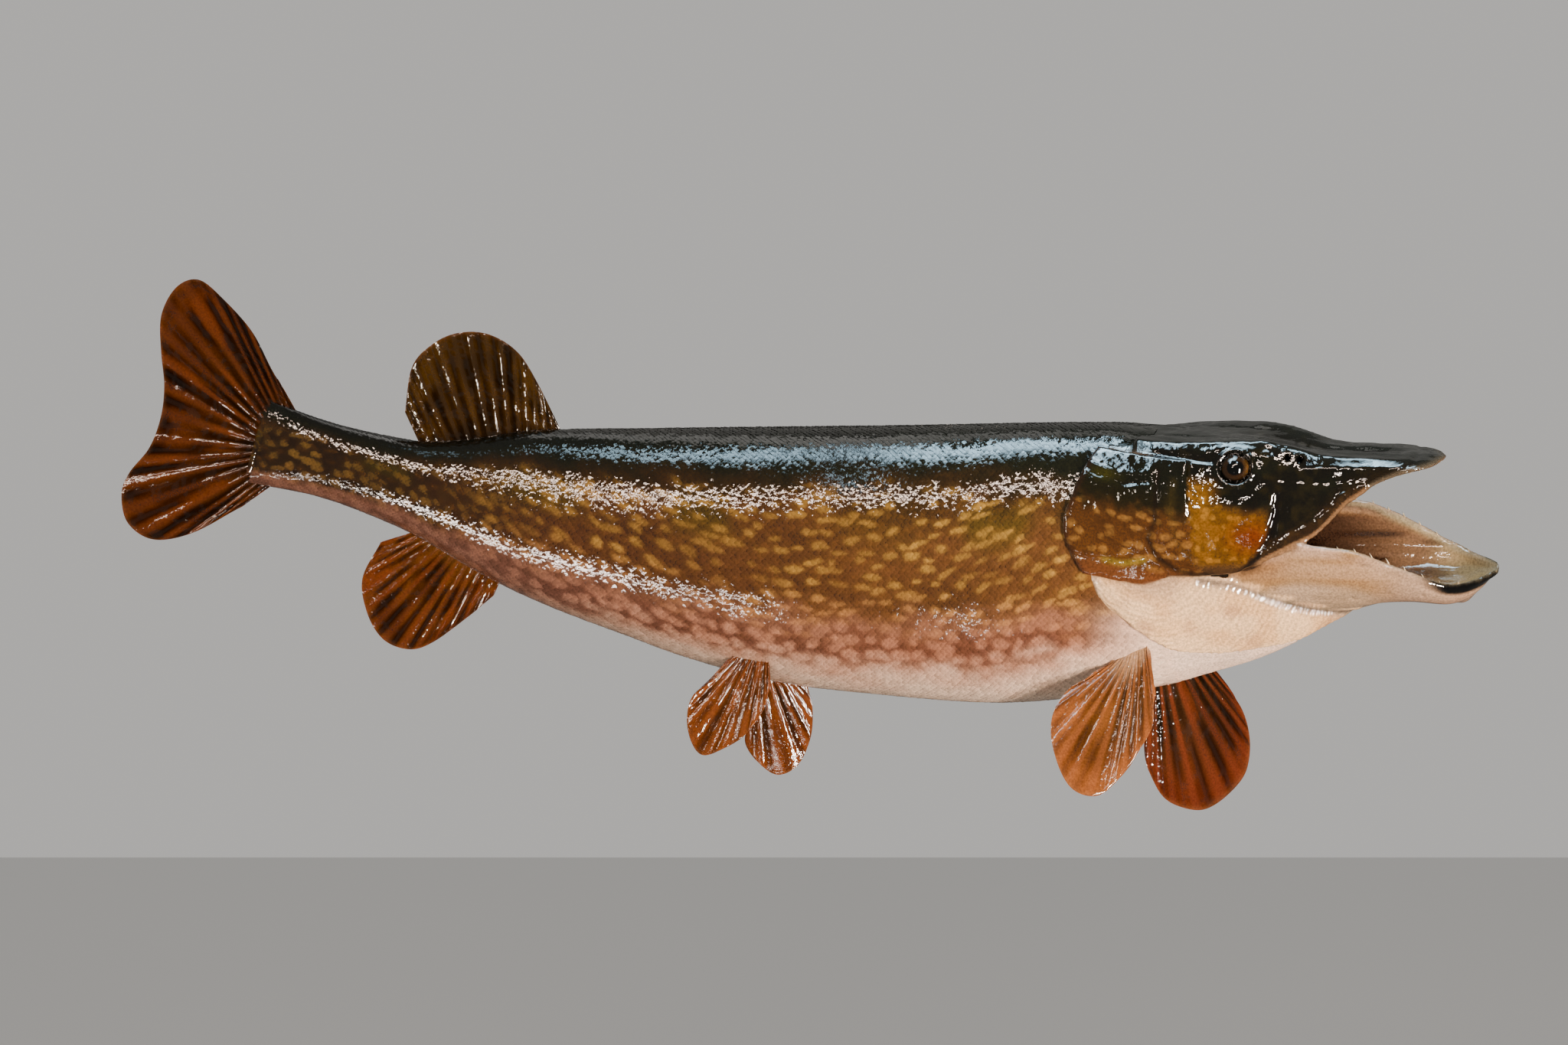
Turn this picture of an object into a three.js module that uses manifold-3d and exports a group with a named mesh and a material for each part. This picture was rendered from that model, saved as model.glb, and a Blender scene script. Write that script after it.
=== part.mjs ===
// A northern pike mounted for a wall: one long body bent in a gentle C, mouth wide open, carried by a
// wooden block let into its hidden flank. Millimetres, +Z up, +X towards the head, the wall is the
// plane y = 0 and the fish hangs in front of it, on the -Y side.
//
// Every piece is first described on a straight fish, by s (distance back from the snout tip),
// v (out to the fish's right, the shown side) and z (height over the body line). pose() bends it.
import * as THREE from 'three';
import { mergeVertices } from 'three/addons/utils/BufferGeometryUtils.js';
import Module from 'manifold-3d';

const wasm = await Module();
wasm.setup();

// ---------- Driving dimensions ----------
const GAP = 0.4;                    // clearance left between neighbouring pieces
const HEAD_END = 208;               // back of the skull, where the scaled nape starts
const TRUNK_SPLIT = 430;            // between the two lengths of trunk
const TAIL_START = 660;             // front of the tail, under the dorsal fin
const TAIL_ROOT = 906;              // scaly root of the tail fin
const JAW_TIP = -34;                // lower jaw's tip, past the snout because the mouth gapes
const JAW_BACK = 150;               // behind the jaw joint
const EYE = { s: 142.5, v: 29.5, z: 57.5, radius: 13 };
const BLOCK = { length: 250, height: 76, depth: 26, corner: 10 };
const HANGER = { width: 54, height: 22, thickness: 2, slot: 4, z: 22 };
const WALL_TO_SPINE = 68;           // wall to the body line at the middle of the fish
const SPINE_ANCHOR = { s: 464, x: 0, z: 3 };

// ---------- Curves ----------
// A smooth curve through [at, value] knots that never overshoots them (monotone cubic Hermite).
function curve(knots) {
  const n = knots.length;
  const rise = (i) => (knots[i + 1][1] - knots[i][1]) / (knots[i + 1][0] - knots[i][0]);
  const slopes = knots.map((knot, i) => {
    if (i === 0 || i === n - 1) return 0;
    const before = rise(i - 1);
    const after = rise(i);
    return before * after <= 0 ? 0 : (2 * before * after) / (before + after);
  });
  slopes[0] = rise(0);
  slopes[n - 1] = rise(n - 2);
  return (x) => {
    if (x <= knots[0][0]) return knots[0][1];
    if (x >= knots[n - 1][0]) return knots[n - 1][1];
    const i = knots.findIndex((knot) => knot[0] > x) - 1;
    const width = knots[i + 1][0] - knots[i][0];
    const t = (x - knots[i][0]) / width;
    const h1 = t * t * (3 - 2 * t);
    return knots[i][1] * (1 - h1) + knots[i + 1][1] * h1
      + width * t * (1 - t) * ((1 - t) * slopes[i] - t * slopes[i + 1]);
  };
}

const mix = THREE.MathUtils.lerp;
const step = (from, to, x) => THREE.MathUtils.smoothstep(x, from, to);

// ---------- Pose ----------
// Angles in degrees: the head turns out to the viewer's side and rolls its top that way, the tail
// turns out again and lifts.
const HEAD_YAW = 22;
const TAIL_YAW = -15;
const TAIL_LIFT = 15.5;
const HEAD_ROLL = 18;
const BODY_ROLL = -3;
const yaw = (s) => HEAD_YAW * (1 - step(230, 520, s)) + TAIL_YAW * step(620, 980, s);
const lift = (s) => TAIL_LIFT * step(540, 745, s);
const roll = (s) => HEAD_ROLL * (1 - step(160, 300, s))
  + BODY_ROLL * step(160, 300, s) * (1 - step(560, 760, s));

// Unit vectors at s: towards the snout, out to the right side, and up the body's height.
function bodyAxes(s) {
  const [a, b, r] = [yaw(s), lift(s), roll(s)].map(THREE.MathUtils.degToRad);
  const ahead = new THREE.Vector3(Math.cos(a) * Math.cos(b), -Math.sin(a) * Math.cos(b), -Math.sin(b));
  const side = new THREE.Vector3(-Math.sin(a), -Math.cos(a), 0);
  const up = new THREE.Vector3().crossVectors(side, ahead).normalize();
  const out = side.clone().multiplyScalar(Math.cos(r)).addScaledVector(up, -Math.sin(r));
  const high = up.clone().multiplyScalar(Math.cos(r)).addScaledVector(side, Math.sin(r));
  return { ahead, out, high };
}

// The body line, walked out from its anchor in short steps and kept at every SPINE_STEP.
const SPINE_STEP = 2;
const spineLine = new Map();
for (const way of [1, -1]) {
  const point = new THREE.Vector3(SPINE_ANCHOR.x, -WALL_TO_SPINE, SPINE_ANCHOR.z);
  spineLine.set(SPINE_ANCHOR.s, point.clone());
  for (let s = SPINE_ANCHOR.s; s > -80 && s < 1040; s += way * SPINE_STEP) {
    point.addScaledVector(bodyAxes(s + way * SPINE_STEP / 2).ahead, -way * SPINE_STEP);
    spineLine.set(s + way * SPINE_STEP, point.clone());
  }
}
function pose(s, v, z) {
  const below = Math.floor(s / SPINE_STEP) * SPINE_STEP;
  const place = spineLine.get(below).clone()
    .lerp(spineLine.get(below + SPINE_STEP), (s - below) / SPINE_STEP);
  const axes = bodyAxes(s);
  return place.addScaledVector(axes.out, v).addScaledVector(axes.high, z);
}

// ---------- Closed solids ----------
function solid(points, triangles) {
  const geometry = new THREE.BufferGeometry();
  geometry.setAttribute('position', new THREE.Float32BufferAttribute(points.flatMap((p) => [p.x, p.y, p.z]), 3));
  geometry.setIndex(triangles.flat());
  return fromGeometry(geometry);
}

function fromGeometry(source) {
  const geometry = source.clone();
  geometry.deleteAttribute('normal');
  geometry.deleteAttribute('uv');
  const merged = mergeVertices(geometry, 1e-4);
  const make = (index) => new wasm.Manifold(new wasm.Mesh({
    numProp: 3,
    vertProperties: new Float32Array(merged.attributes.position.array),
    triVerts: new Uint32Array(index),
  }));
  const index = Array.from(merged.index.array);
  const body = make(index);
  if (body.volume() > 0) return body;
  for (let i = 0; i < index.length; i += 3) [index[i], index[i + 1]] = [index[i + 1], index[i]];
  return make(index);
}

// The largest closed piece of a cut solid; slivers left by a cut are dropped.
function largest(body) {
  return body.decompose().reduce((a, b) => (b.volume() > a.volume() ? b : a));
}

// Rings of [v, z] points at each station of s, skinned and closed with flat ends.
function loft(stations, section) {
  const outlines = stations.map(section);
  const count = outlines[0].length;
  const points = stations.flatMap((s, i) => outlines[i].map(([v, z]) => pose(s, v, z)));
  const triangles = [];
  for (let i = 0; i + 1 < stations.length; i++) {
    for (let j = 0; j < count; j++) {
      const a = i * count + j;
      const b = i * count + (j + 1) % count;
      triangles.push([a, b, a + count], [b, b + count, a + count]);
    }
  }
  for (const [row, flip] of [[0, true], [stations.length - 1, false]]) {
    const flat = outlines[row].map(([v, z]) => new THREE.Vector2(v, z));
    const clockwise = THREE.ShapeUtils.isClockWise(flat);
    for (const [a, b, c] of THREE.ShapeUtils.triangulateShape(flat, [])) {
      const face = [a, b, c].map((k) => row * count + k);
      triangles.push(flip === clockwise ? face : face.reverse());
    }
  }
  return solid(points, triangles);
}

// A curved plate between two grids of points: rows x columns, an outer face and an inner face.
function plate(rows, columns, outer, inner) {
  const points = [];
  for (const face of [outer, inner]) {
    for (let i = 0; i <= rows; i++) {
      for (let j = 0; j <= columns; j++) points.push(face(i / rows, j / columns));
    }
  }
  const wide = columns + 1;
  const back = (rows + 1) * wide;
  const triangles = [];
  for (let i = 0; i < rows; i++) {
    for (let j = 0; j < columns; j++) {
      const a = i * wide + j;
      triangles.push([a, a + 1, a + wide], [a + 1, a + wide + 1, a + wide]);
      triangles.push([back + a + 1, back + a, back + a + wide]);
      triangles.push([back + a + wide + 1, back + a + 1, back + a + wide]);
    }
  }
  const rim = [];
  for (let j = 0; j < columns; j++) rim.push(j);
  for (let i = 0; i < rows; i++) rim.push(i * wide + columns);
  for (let j = columns; j > 0; j--) rim.push(rows * wide + j);
  for (let i = rows; i > 0; i--) rim.push(i * wide);
  rim.forEach((a, k) => {
    const b = rim[(k + 1) % rim.length];
    triangles.push([b, a, back + a], [b, back + a, back + b]);
  });
  return solid(points, triangles);
}

const range = (from, to, spacing) => {
  const count = Math.max(1, Math.round((to - from) / spacing));
  return Array.from({ length: count + 1 }, (_, i) => mix(from, to, i / count));
};

// ---------- Trunk and tail ----------
const backLine = curve([[150, 75], [208, 80], [260, 82], [450, 80.6], [570, 79.3], [637, 74.9],
  [702, 62.8], [758, 40.4], [790, 31], [850, 27.3], [906, 31]]);
const bellyLine = curve([[110, -83], [145, -99], [204, -115], [260, -122.5], [335, -128.7],
  [452, -121], [511, -112.5], [568, -96.3], [620, -78.2], [711, -54.9], [790, -35], [849, -29.7],
  [906, -34]]);
const halfWidth = curve([[150, 42], [208, 51], [270, 58], [340, 65], [460, 66], [560, 58],
  [650, 45], [730, 31], [800, 20], [860, 12.5], [906, 6]]);
const widestAt = (s) => -6 * (1 - step(500, 800, s));
const backSquareness = (s) => mix(2.7, 2.25, step(250, 420, s));
const BELLY_SQUARENESS = 2.3;

function trunkSection(s, grow = 0, count = 24) {
  const middle = widestAt(s);
  return Array.from({ length: count }, (_, i) => {
    const angle = (2 * Math.PI * i) / count;
    const [c, n] = [Math.cos(angle), Math.sin(angle)];
    const power = 2 / (n > 0 ? backSquareness(s) : BELLY_SQUARENESS);
    const reach = (n > 0 ? backLine(s) - middle : middle - bellyLine(s)) + grow;
    return [
      (halfWidth(s) + grow) * Math.sign(c) * Math.abs(c) ** power,
      middle + reach * Math.sign(n) * Math.abs(n) ** power,
    ];
  });
}

// The breast runs forward under the gills as a keel that narrows to the isthmus.
const keelTop = curve([[112, -77], [140, -62], [170, -34], [208, -20]]);
const keelWidth = curve([[112, 6], [140, 15], [170, 27], [208, 43]]);
function keelSection(s, grow = 0) {
  const [top, bottom, wide] = [keelTop(s) + grow, bellyLine(s) - grow, keelWidth(s) + grow];
  const half = [[0, top], [wide * 0.85, top - 2], [wide, mix(top, bottom, 0.35)],
    [wide * 0.72, mix(top, bottom, 0.78)], [0, bottom]];
  return [...half, ...half.slice(1, -1).reverse().map(([v, z]) => [-v, z])];
}

// ---------- Head ----------
const crownLine = curve([[0, 57.5], [12, 59.5], [30, 61], [60, 62], [85, 63.5], [110, 69], [135, 74],
  [170, 77.5], [HEAD_END, 80]]);
const ridgeOut = curve([[0, 4], [12, 14], [30, 19], [60, 20], [90, 22], [125, 26], [160, 28],
  [HEAD_END, 31]]);
const ridgeLine = curve([[0, 56.5], [12, 58.5], [30, 60.5], [60, 62], [78, 63.5], [92, 68], [107, 73],
  [127, 77], [150, 77.5], [183, 76.5], [HEAD_END, 75]]);
const lipOut = curve([[0, 7], [4, 17], [12, 24], [25, 27.5], [45, 28.5], [65, 31], [88, 38], [105, 43],
  [125, 48], [145, 50.5], [175, 53], [HEAD_END, 55]]);
const lipLine = curve([[0, 54.5], [21, 52.3], [42, 45], [54, 38], [65, 31], [76, 20], [88, 9.5],
  [105, 2], [125, -7], [145, -15], [HEAD_END, -18]]);
const palateLine = curve([[0, 54.5], [20, 53.5], [45, 50], [80, 43], [120, 32], [165, 14],
  [HEAD_END, 4]]);
const LIP_THICKNESS = 4;
const SIDE_FULLNESS = 3;

// Half-width of the head's side at a fraction down from the brow ridge to the lip.
const sideOut = (s, down) => mix(ridgeOut(s), lipOut(s), 1 - (1 - down) ** SIDE_FULLNESS);

function headSection(s, grow = 0) {
  const half = [[0, crownLine(s) + grow], [ridgeOut(s) * 0.6, mix(crownLine(s), ridgeLine(s), 0.6) + grow],
    [ridgeOut(s), ridgeLine(s) + grow]];
  for (const down of [0.12, 0.28, 0.48, 0.72, 1]) {
    half.push([sideOut(s, down) + grow, mix(ridgeLine(s), lipLine(s), down) - (down === 1 ? grow : 0)]);
  }
  const inside = sideOut(s, 1) - LIP_THICKNESS;
  for (const [across, up] of [[1, 0], [0.86, 0.6], [0.55, 0.9], [0, 1]]) {
    half.push([(inside - grow) * across, mix(lipLine(s), palateLine(s), up) - grow]);
  }
  return [...half, ...half.slice(1, -1).reverse().map(([v, z]) => [-v, z])];
}

// ---------- Lower jaw ----------
const JAW_TWIST = 7.5;              // extra roll of the dropped jaw, degrees
const rimLine = curve([[JAW_TIP, -25], [-15, -27], [1, -23], [23, -12], [44, -1.7], [66, 6.8],
  [97, 9], [120, 0], [JAW_BACK, -14]]);
const rimOut = curve([[JAW_TIP, 4], [-29, 12], [-15, 25], [1, 35], [30, 40], [66, 43], [100, 43],
  [JAW_BACK, 44]]);
const chinLine = curve([[JAW_TIP, -29], [-24, -38], [-12, -46.5], [0, -48.5], [20, -47], [41, -48.5],
  [69, -55.5], [110, -58], [JAW_BACK, -52]]);
const JAW_WALL = 4.5;

function jawSection(s, grow = 0) {
  const [rim, chin, wide] = [rimLine(s), chinLine(s), rimOut(s)];
  const wall = Math.min(JAW_WALL, wide * 0.4);
  const floor = chin + Math.min(9, (rim - chin) * 0.45);
  const outer = [[1, 1], [1.02, 0.72], [0.9, 0.42], [0.66, 0.16], [0, 0]]
    .map(([across, up]) => [wide * across + (across ? grow : 0), mix(chin - grow, rim + grow, up)]);
  const inner = [[0, 0], [0.5, 0.1], [0.84, 0.42], [1, 1]]
    .map(([across, up]) => [(wide - wall) * across - (across ? grow : 0), mix(floor + grow, rim + grow, up)]);
  const half = [...outer.reverse(), ...inner.reverse()];
  const mirrored = half.slice(1, -1).reverse().map(([v, z]) => [-v, z]);
  const twist = THREE.MathUtils.degToRad(JAW_TWIST * (1 - step(70, 140, s)));
  const [c, n] = [Math.cos(twist), Math.sin(twist)];
  return [...half, ...mirrored].map(([v, z]) => [v * c + (z + 20) * n, (z + 20) * c - v * n - 20]);
}

// ---------- Gill covers and gill membranes ----------
const gillFront = curve([[-28, 186], [-12, 194], [10, 199], [64, 199]]);
const gillRear = curve([[-30, 251], [-10, 263], [4, 267], [33, 259], [60, 247], [66, 243]]);
const gillOut = curve([[150, 52], [196, 56], [235, 60], [269, 62]]);
const GILL_THICKNESS = 4.5;
function gillSide(s, z) {
  const reach = z > -5 ? 87 : 107;
  const power = z > -5 ? 2.7 : 2.3;
  return gillOut(s) * (1 - (Math.abs(z + 5) / reach) ** power) ** (1 / power);
}
function gillPlate(side, grow = 0, outside = 0) {
  const at = (depth) => (down, back) => {
    const z = mix(65 + grow, -26 - grow, down);
    const s = mix(gillFront(z) - grow, gillRear(z) + grow, back);
    return pose(s, side * (gillSide(s, z) + depth), z);
  };
  return plate(9, 5, at(outside), at(-GILL_THICKNESS - grow));
}

// Upper line under the gill cover and along the jaw, and the free lower edge, rear to front.
const MEMBRANE_TOP = new THREE.CatmullRomCurve3([[247, 53, -28], [205, 52, -22], [160, 48, -20],
  [118, 37, -38], [74, 20, -57]].map((p) => new THREE.Vector3(...p)));
const MEMBRANE_EDGE = new THREE.CatmullRomCurve3([[240, 53, -43], [209, 50, -68], [185, 42, -79],
  [155, 35, -81], [118, 27, -76], [74, 16, -60]].map((p) => new THREE.Vector3(...p)));
const MEMBRANE_THICKNESS = 2.4;
function membrane(side, grow = 0, outside = 0) {
  const at = (depth) => (down, ahead) => {
    const point = MEMBRANE_TOP.getPointAt(ahead).lerp(MEMBRANE_EDGE.getPointAt(ahead), down);
    const belly = 3.5 * Math.sin(Math.PI * down);
    return pose(point.x + grow * (1 - 2 * ahead), side * (point.y + belly + depth),
      point.z + grow * (1 - 2 * down));
  };
  return plate(4, 10, at(outside), at(-MEMBRANE_THICKNESS - grow));
}

// ---------- Teeth ----------
function tooth(foot, tip, radius) {
  const cone = new THREE.ConeGeometry(radius, foot.distanceTo(tip), 4, 1);
  const along = tip.clone().sub(foot).normalize();
  cone.applyQuaternion(new THREE.Quaternion().setFromUnitVectors(new THREE.Vector3(0, 1, 0), along));
  const middle = foot.clone().lerp(tip, 0.5);
  cone.translate(middle.x, middle.y, middle.z);
  return fromGeometry(cone);
}
function jawTeeth(body) {
  for (const s of range(-14, 56, 14)) {
    const outline = jawSection(s);
    for (const k of [7, outline.length - 7]) {
      const [v, z] = outline[k];
      body = body.add(tooth(pose(s, v * 0.97, z - 4), pose(s + 2, v * 0.93, z + 5), 1.6));
    }
  }
  return body;
}
function palateTeeth(body) {
  for (const s of range(14, 62, 12)) {
    for (const side of [1, -1]) {
      const out = side * (lipOut(s) - 2);
      body = body.add(tooth(pose(s, out, lipLine(s) + 3), pose(s + 1, out, lipLine(s) - 2.5), 1.2));
    }
  }
  return body;
}

// ---------- Fins ----------
// A fan of rays: feet along a base line, tips along a smooth outline, thick at the foot.
function fin(feet, tips, rays, foot = 4, edge = 1) {
  const base = new THREE.CatmullRomCurve3(feet.map((p) => new THREE.Vector3(...p)));
  const rim = new THREE.CatmullRomCurve3(tips.map((p) => new THREE.Vector3(...p)));
  const at = (side) => (out, across) => {
    const point = base.getPoint(across).lerp(rim.getPoint(across), out);
    const half = side * mix(foot, edge, out ** 0.5) / 2;
    return pose(point.x, point.y + half, point.z);
  };
  return plate(5, rays, at(1), at(-1));
}
const onBack = (s, sink) => [s, 0, backLine(s) - sink];
const onBelly = (s, sink) => [s, 0, bellyLine(s) + sink];
const FINS = {
  dorsal_fin: fin([onBack(676, 8), onBack(728, 8), onBack(783, 6)],
    [[690, 0, 77], [709, 0, 97], [732, 0, 116.5], [757, 0, 124], [780, 0, 119], [797, 0, 105],
      [807, 0, 84], [803, 0, 50]], 14),
  anal_fin: fin([onBelly(700, 8), onBelly(734, 8), onBelly(768, 6)],
    [[703, 0, -67], [717, 0, -88], [736, 0, -113], [752, 0, -123], [773, 0, -120.5],
      [790, 0, -104], [800, 0, -80], [794, 0, -50]], 14),
  caudal_fin: fin([[882, 0, 29], [897, 0, 19], [902, 0, 0], [897, 0, -20], [884, 0, -31]],
    [[904, 0, 51], [930, 1, 78], [957, 2, 95], [977, 3, 103], [991, 3, 93], [996, 2, 70],
      [989, 0, 44], [980, 0, 20], [976, 0, -4], [978, 0, -28], [987, 0, -50], [988, 1, -67],
      [978, 2, -86], [957, 2, -93], [931, 1, -81], [901, 0, -52]], 20),
  pectoral_fin_right: fin([[212, 40, -76], [222, 40, -82], [234, 38, -90]],
    [[206, 58, -108], [207, 66, -131], [216, 74, -152], [229, 78, -174], [243, 78, -185],
      [258, 76, -182], [269, 72, -164], [275, 64, -140], [268, 54, -118], [250, 47, -100]], 14),
  pectoral_fin_left: fin([[212, -40, -76], [222, -40, -82], [234, -38, -90]],
    [[184, -52, -134], [171, -56, -160], [167, -58, -187], [172, -60, -214], [186, -60, -230],
      [204, -60, -235], [222, -58, -222], [234, -56, -200], [239, -52, -172], [236, -46, -135]], 14),
  pelvic_fin_right: fin([[508, 33, -94], [519, 32, -92], [531, 30, -90]],
    [[507, 40, -117], [511, 42, -133], [524, 44, -152], [541, 45, -163], [556, 45, -168],
      [564, 44, -158], [567, 42, -141], [563, 40, -123], [547, 37, -108]], 10),
  pelvic_fin_left: fin([[505, -33, -94], [516, -32, -92], [528, -30, -90]],
    [[479, -40, -118], [475, -42, -137], [477, -44, -158], [486, -46, -178], [502, -46, -186],
      [517, -44, -176], [527, -42, -161], [525, -40, -143], [519, -37, -122]], 10),
};

// ---------- Eyes ----------
const eyeAt = (side) => pose(EYE.s, side * EYE.v, EYE.z);
const ball = (centre, radius) => fromGeometry(
  new THREE.SphereGeometry(radius, 12, 7).translate(centre.x, centre.y, centre.z));

// ---------- Hanging block ----------
function roundedBox(width, height, depth, corner) {
  const [x, z] = [width / 2, height / 2];
  const outline = new THREE.Shape();
  outline.moveTo(-x + corner, -z);
  outline.lineTo(x - corner, -z);
  outline.absarc(x - corner, -z + corner, corner, -Math.PI / 2, 0);
  outline.absarc(x - corner, z - corner, corner, 0, Math.PI / 2);
  outline.absarc(-x + corner, z - corner, corner, Math.PI / 2, Math.PI);
  outline.absarc(-x + corner, -z + corner, corner, Math.PI, Math.PI * 1.5);
  return new THREE.ExtrudeGeometry(outline, { depth, bevelEnabled: false, curveSegments: 3 })
    .rotateX(Math.PI / 2);
}
const blockSolid = (grow) => fromGeometry(roundedBox(BLOCK.length + 2 * grow, BLOCK.height + 2 * grow,
  BLOCK.depth + grow, BLOCK.corner + grow));
// The steel plate sits just under flush in its recess, which is open to the wall.
const RECESS = 0.3;
const hangerSolid = (grow) => fromGeometry(roundedBox(HANGER.width + 2 * grow, HANGER.height + 2 * grow,
  HANGER.thickness + (grow ? 2 : 0), 4 + grow).translate(0, grow ? 2 - RECESS - grow : -RECESS, HANGER.z));
function screw(x, grow) {
  const [head, shank] = [[3.6, 1.6], [1.8, 12]];
  const face = grow ? -2 : RECESS + 0.2;
  const profile = [[0, face], [head[0], face], [head[0], head[1]], [shank[0], head[1] + 1.5],
    [shank[0], shank[1]], [0, shank[1] + 2]];
  const points = profile.map(([r, y]) => new THREE.Vector2(r ? r + grow : 0, -y - (y > face ? grow : 0)));
  return fromGeometry(new THREE.LatheGeometry(points, 10).translate(x, 0, HANGER.z));
}
// A keyhole through the hanger and on into the block: a round mouth with a slot above it.
function keyhole(depth) {
  const mouth = new THREE.CylinderGeometry(HANGER.slot, HANGER.slot, depth * 2, 12);
  const slot = new THREE.BoxGeometry(HANGER.slot, depth * 2, 7);
  return fromGeometry(mouth.translate(0, 0, HANGER.z - 4))
    .add(fromGeometry(slot.translate(0, 0, HANGER.z + 0.5)));
}
const SCREW_OUT = 20;
const screwCuts = [-SCREW_OUT, SCREW_OUT].map((x) => screw(x, GAP));
const block = [hangerSolid(GAP), keyhole(12), ...screwCuts].reduce((a, b) => a.subtract(b), blockSolid(0));
const hanger = [keyhole(12), ...screwCuts].reduce((a, b) => a.subtract(b), hangerSolid(0));

// ---------- Cut the flesh into its pieces ----------
const blockRoom = blockSolid(GAP);
const gillRooms = [1, -1].map((side) => gillPlate(side, GAP, 25));
const eyes = [1, -1].map((side) => ball(eyeAt(side), EYE.radius));
const eyeRooms = [1, -1].map((side) => ball(eyeAt(side), EYE.radius + GAP));
const HEAD_STATIONS = [0, 4, 12, 24, 42, 60, 76, 90, 105, 125, 148, 176, HEAD_END];
const headRoom = loft([-1, 4, 12, 24, 42, 60, 76, 90, 105, 125, 148, 176, HEAD_END + GAP],
  (s) => headSection(s, GAP));
const JAW_STATIONS = [JAW_TIP, -30, -22, -12, 2, 20, 40, 62, 84, 104, 126, JAW_BACK];
const jawRoom = loft([JAW_TIP - 1, -30, -22, -12, 2, 20, 40, 62, 84, 104, 126, JAW_BACK + 1],
  (s) => jawSection(s, GAP));
const cut = (body, rooms) => largest(rooms.reduce((a, b) => a.subtract(b), body));

const head = palateTeeth(cut(loft(HEAD_STATIONS, (s) => headSection(s)), [...gillRooms, ...eyeRooms]));
const lowerJaw = jawTeeth(cut(loft(JAW_STATIONS, (s) => jawSection(s)), [headRoom, ...gillRooms]));
const gillCovers = [1, -1].map((side) => cut(gillPlate(side), []));
const membraneRooms = [1, -1].map((side) => membrane(side, GAP, 12));
const keelStations = [112, 126, 140, 155, 170, 190, HEAD_END + 2];
const keel = loft(keelStations, (s) => keelSection(s));
const keelRoom = loft(keelStations, (s) => keelSection(s, GAP));
const trunkLoft = (from, to, grow) => loft(range(from, to, 29), (s) => trunkSection(s, grow));
const trunkFront = cut(trunkLoft(HEAD_END + GAP, TRUNK_SPLIT, 0).add(keel),
  [headRoom, jawRoom, ...gillRooms, ...membraneRooms, blockRoom]);
// The trunk's own shape moved a gap's width each way, so that the thin membranes clear it all round.
const trunkRooms = [[1, 0, 0], [-1, 0, 0], [0, 1, 0], [0, -1, 0], [0, 0, 1], [0, 0, -1]]
  .map((way) => trunkFront.translate(way.map((part) => part * GAP)));
const membranes = [1, -1].map((side) => cut(membrane(side),
  [headRoom, jawRoom, ...gillRooms, ...trunkRooms]));
const trunkRear = cut(trunkLoft(TRUNK_SPLIT + GAP, TAIL_START, 0), [blockRoom]);
const tail = cut(trunkLoft(TAIL_START + GAP, TAIL_ROOT, 0), []);
const fleshRooms = [keelRoom, trunkLoft(HEAD_END, TRUNK_SPLIT, GAP), trunkLoft(TRUNK_SPLIT, TAIL_START, GAP),
  trunkLoft(TAIL_START, TAIL_ROOT, GAP)];

// ---------- The model ----------
const material = (color, roughness, metalness = 0) =>
  new THREE.MeshStandardMaterial({ color, roughness, metalness });
const LOOKS = {
  back: material(0x3b3a22, 0.2), flank: material(0x6e5a2c, 0.2), pale: material(0xd8c0a0, 0.25),
  fin: material(0x9a4a1c, 0.25), eye: material(0x1a1408, 0.05), wood: material(0xb08a5a, 0.7),
  steel: material(0xb8b8b4, 0.35, 0.9),
};
const model = new THREE.Group();
function addPiece(name, body, look) {
  const { numProp, vertProperties, triVerts } = body.getMesh();
  const positions = [];
  for (let i = 0; i < vertProperties.length; i += numProp) positions.push(...vertProperties.slice(i, i + 3));
  const geometry = new THREE.BufferGeometry();
  geometry.setAttribute('position', new THREE.Float32BufferAttribute(positions, 3));
  geometry.setIndex(Array.from(triVerts));
  const mesh = new THREE.Mesh(geometry, look);
  mesh.name = name;
  model.add(mesh);
}
addPiece('head', head, LOOKS.back);
addPiece('lower_jaw', lowerJaw, LOOKS.pale);
['right', 'left'].forEach((name, i) => {
  addPiece(`gill_cover_${name}`, gillCovers[i], LOOKS.flank);
  addPiece(`gill_membrane_${name}`, membranes[i], LOOKS.pale);
  addPiece(`eye_${name}`, eyes[i], LOOKS.eye);
});
addPiece('trunk_front', trunkFront, LOOKS.flank);
addPiece('trunk_rear', trunkRear, LOOKS.flank);
addPiece('tail', tail, LOOKS.flank);
for (const [name, body] of Object.entries(FINS)) addPiece(name, cut(body, fleshRooms), LOOKS.fin);
addPiece('back_block', block, LOOKS.wood);
addPiece('hanger_plate', hanger, LOOKS.steel);
['left', 'right'].forEach((name, i) => {
  addPiece(`hanger_screw_${name}`, screw(i ? SCREW_OUT : -SCREW_OUT, 0), LOOKS.steel);
});

export default model;
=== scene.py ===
import math

import bmesh
import bpy
import numpy as np
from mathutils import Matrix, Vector
from mathutils.kdtree import KDTree


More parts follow.
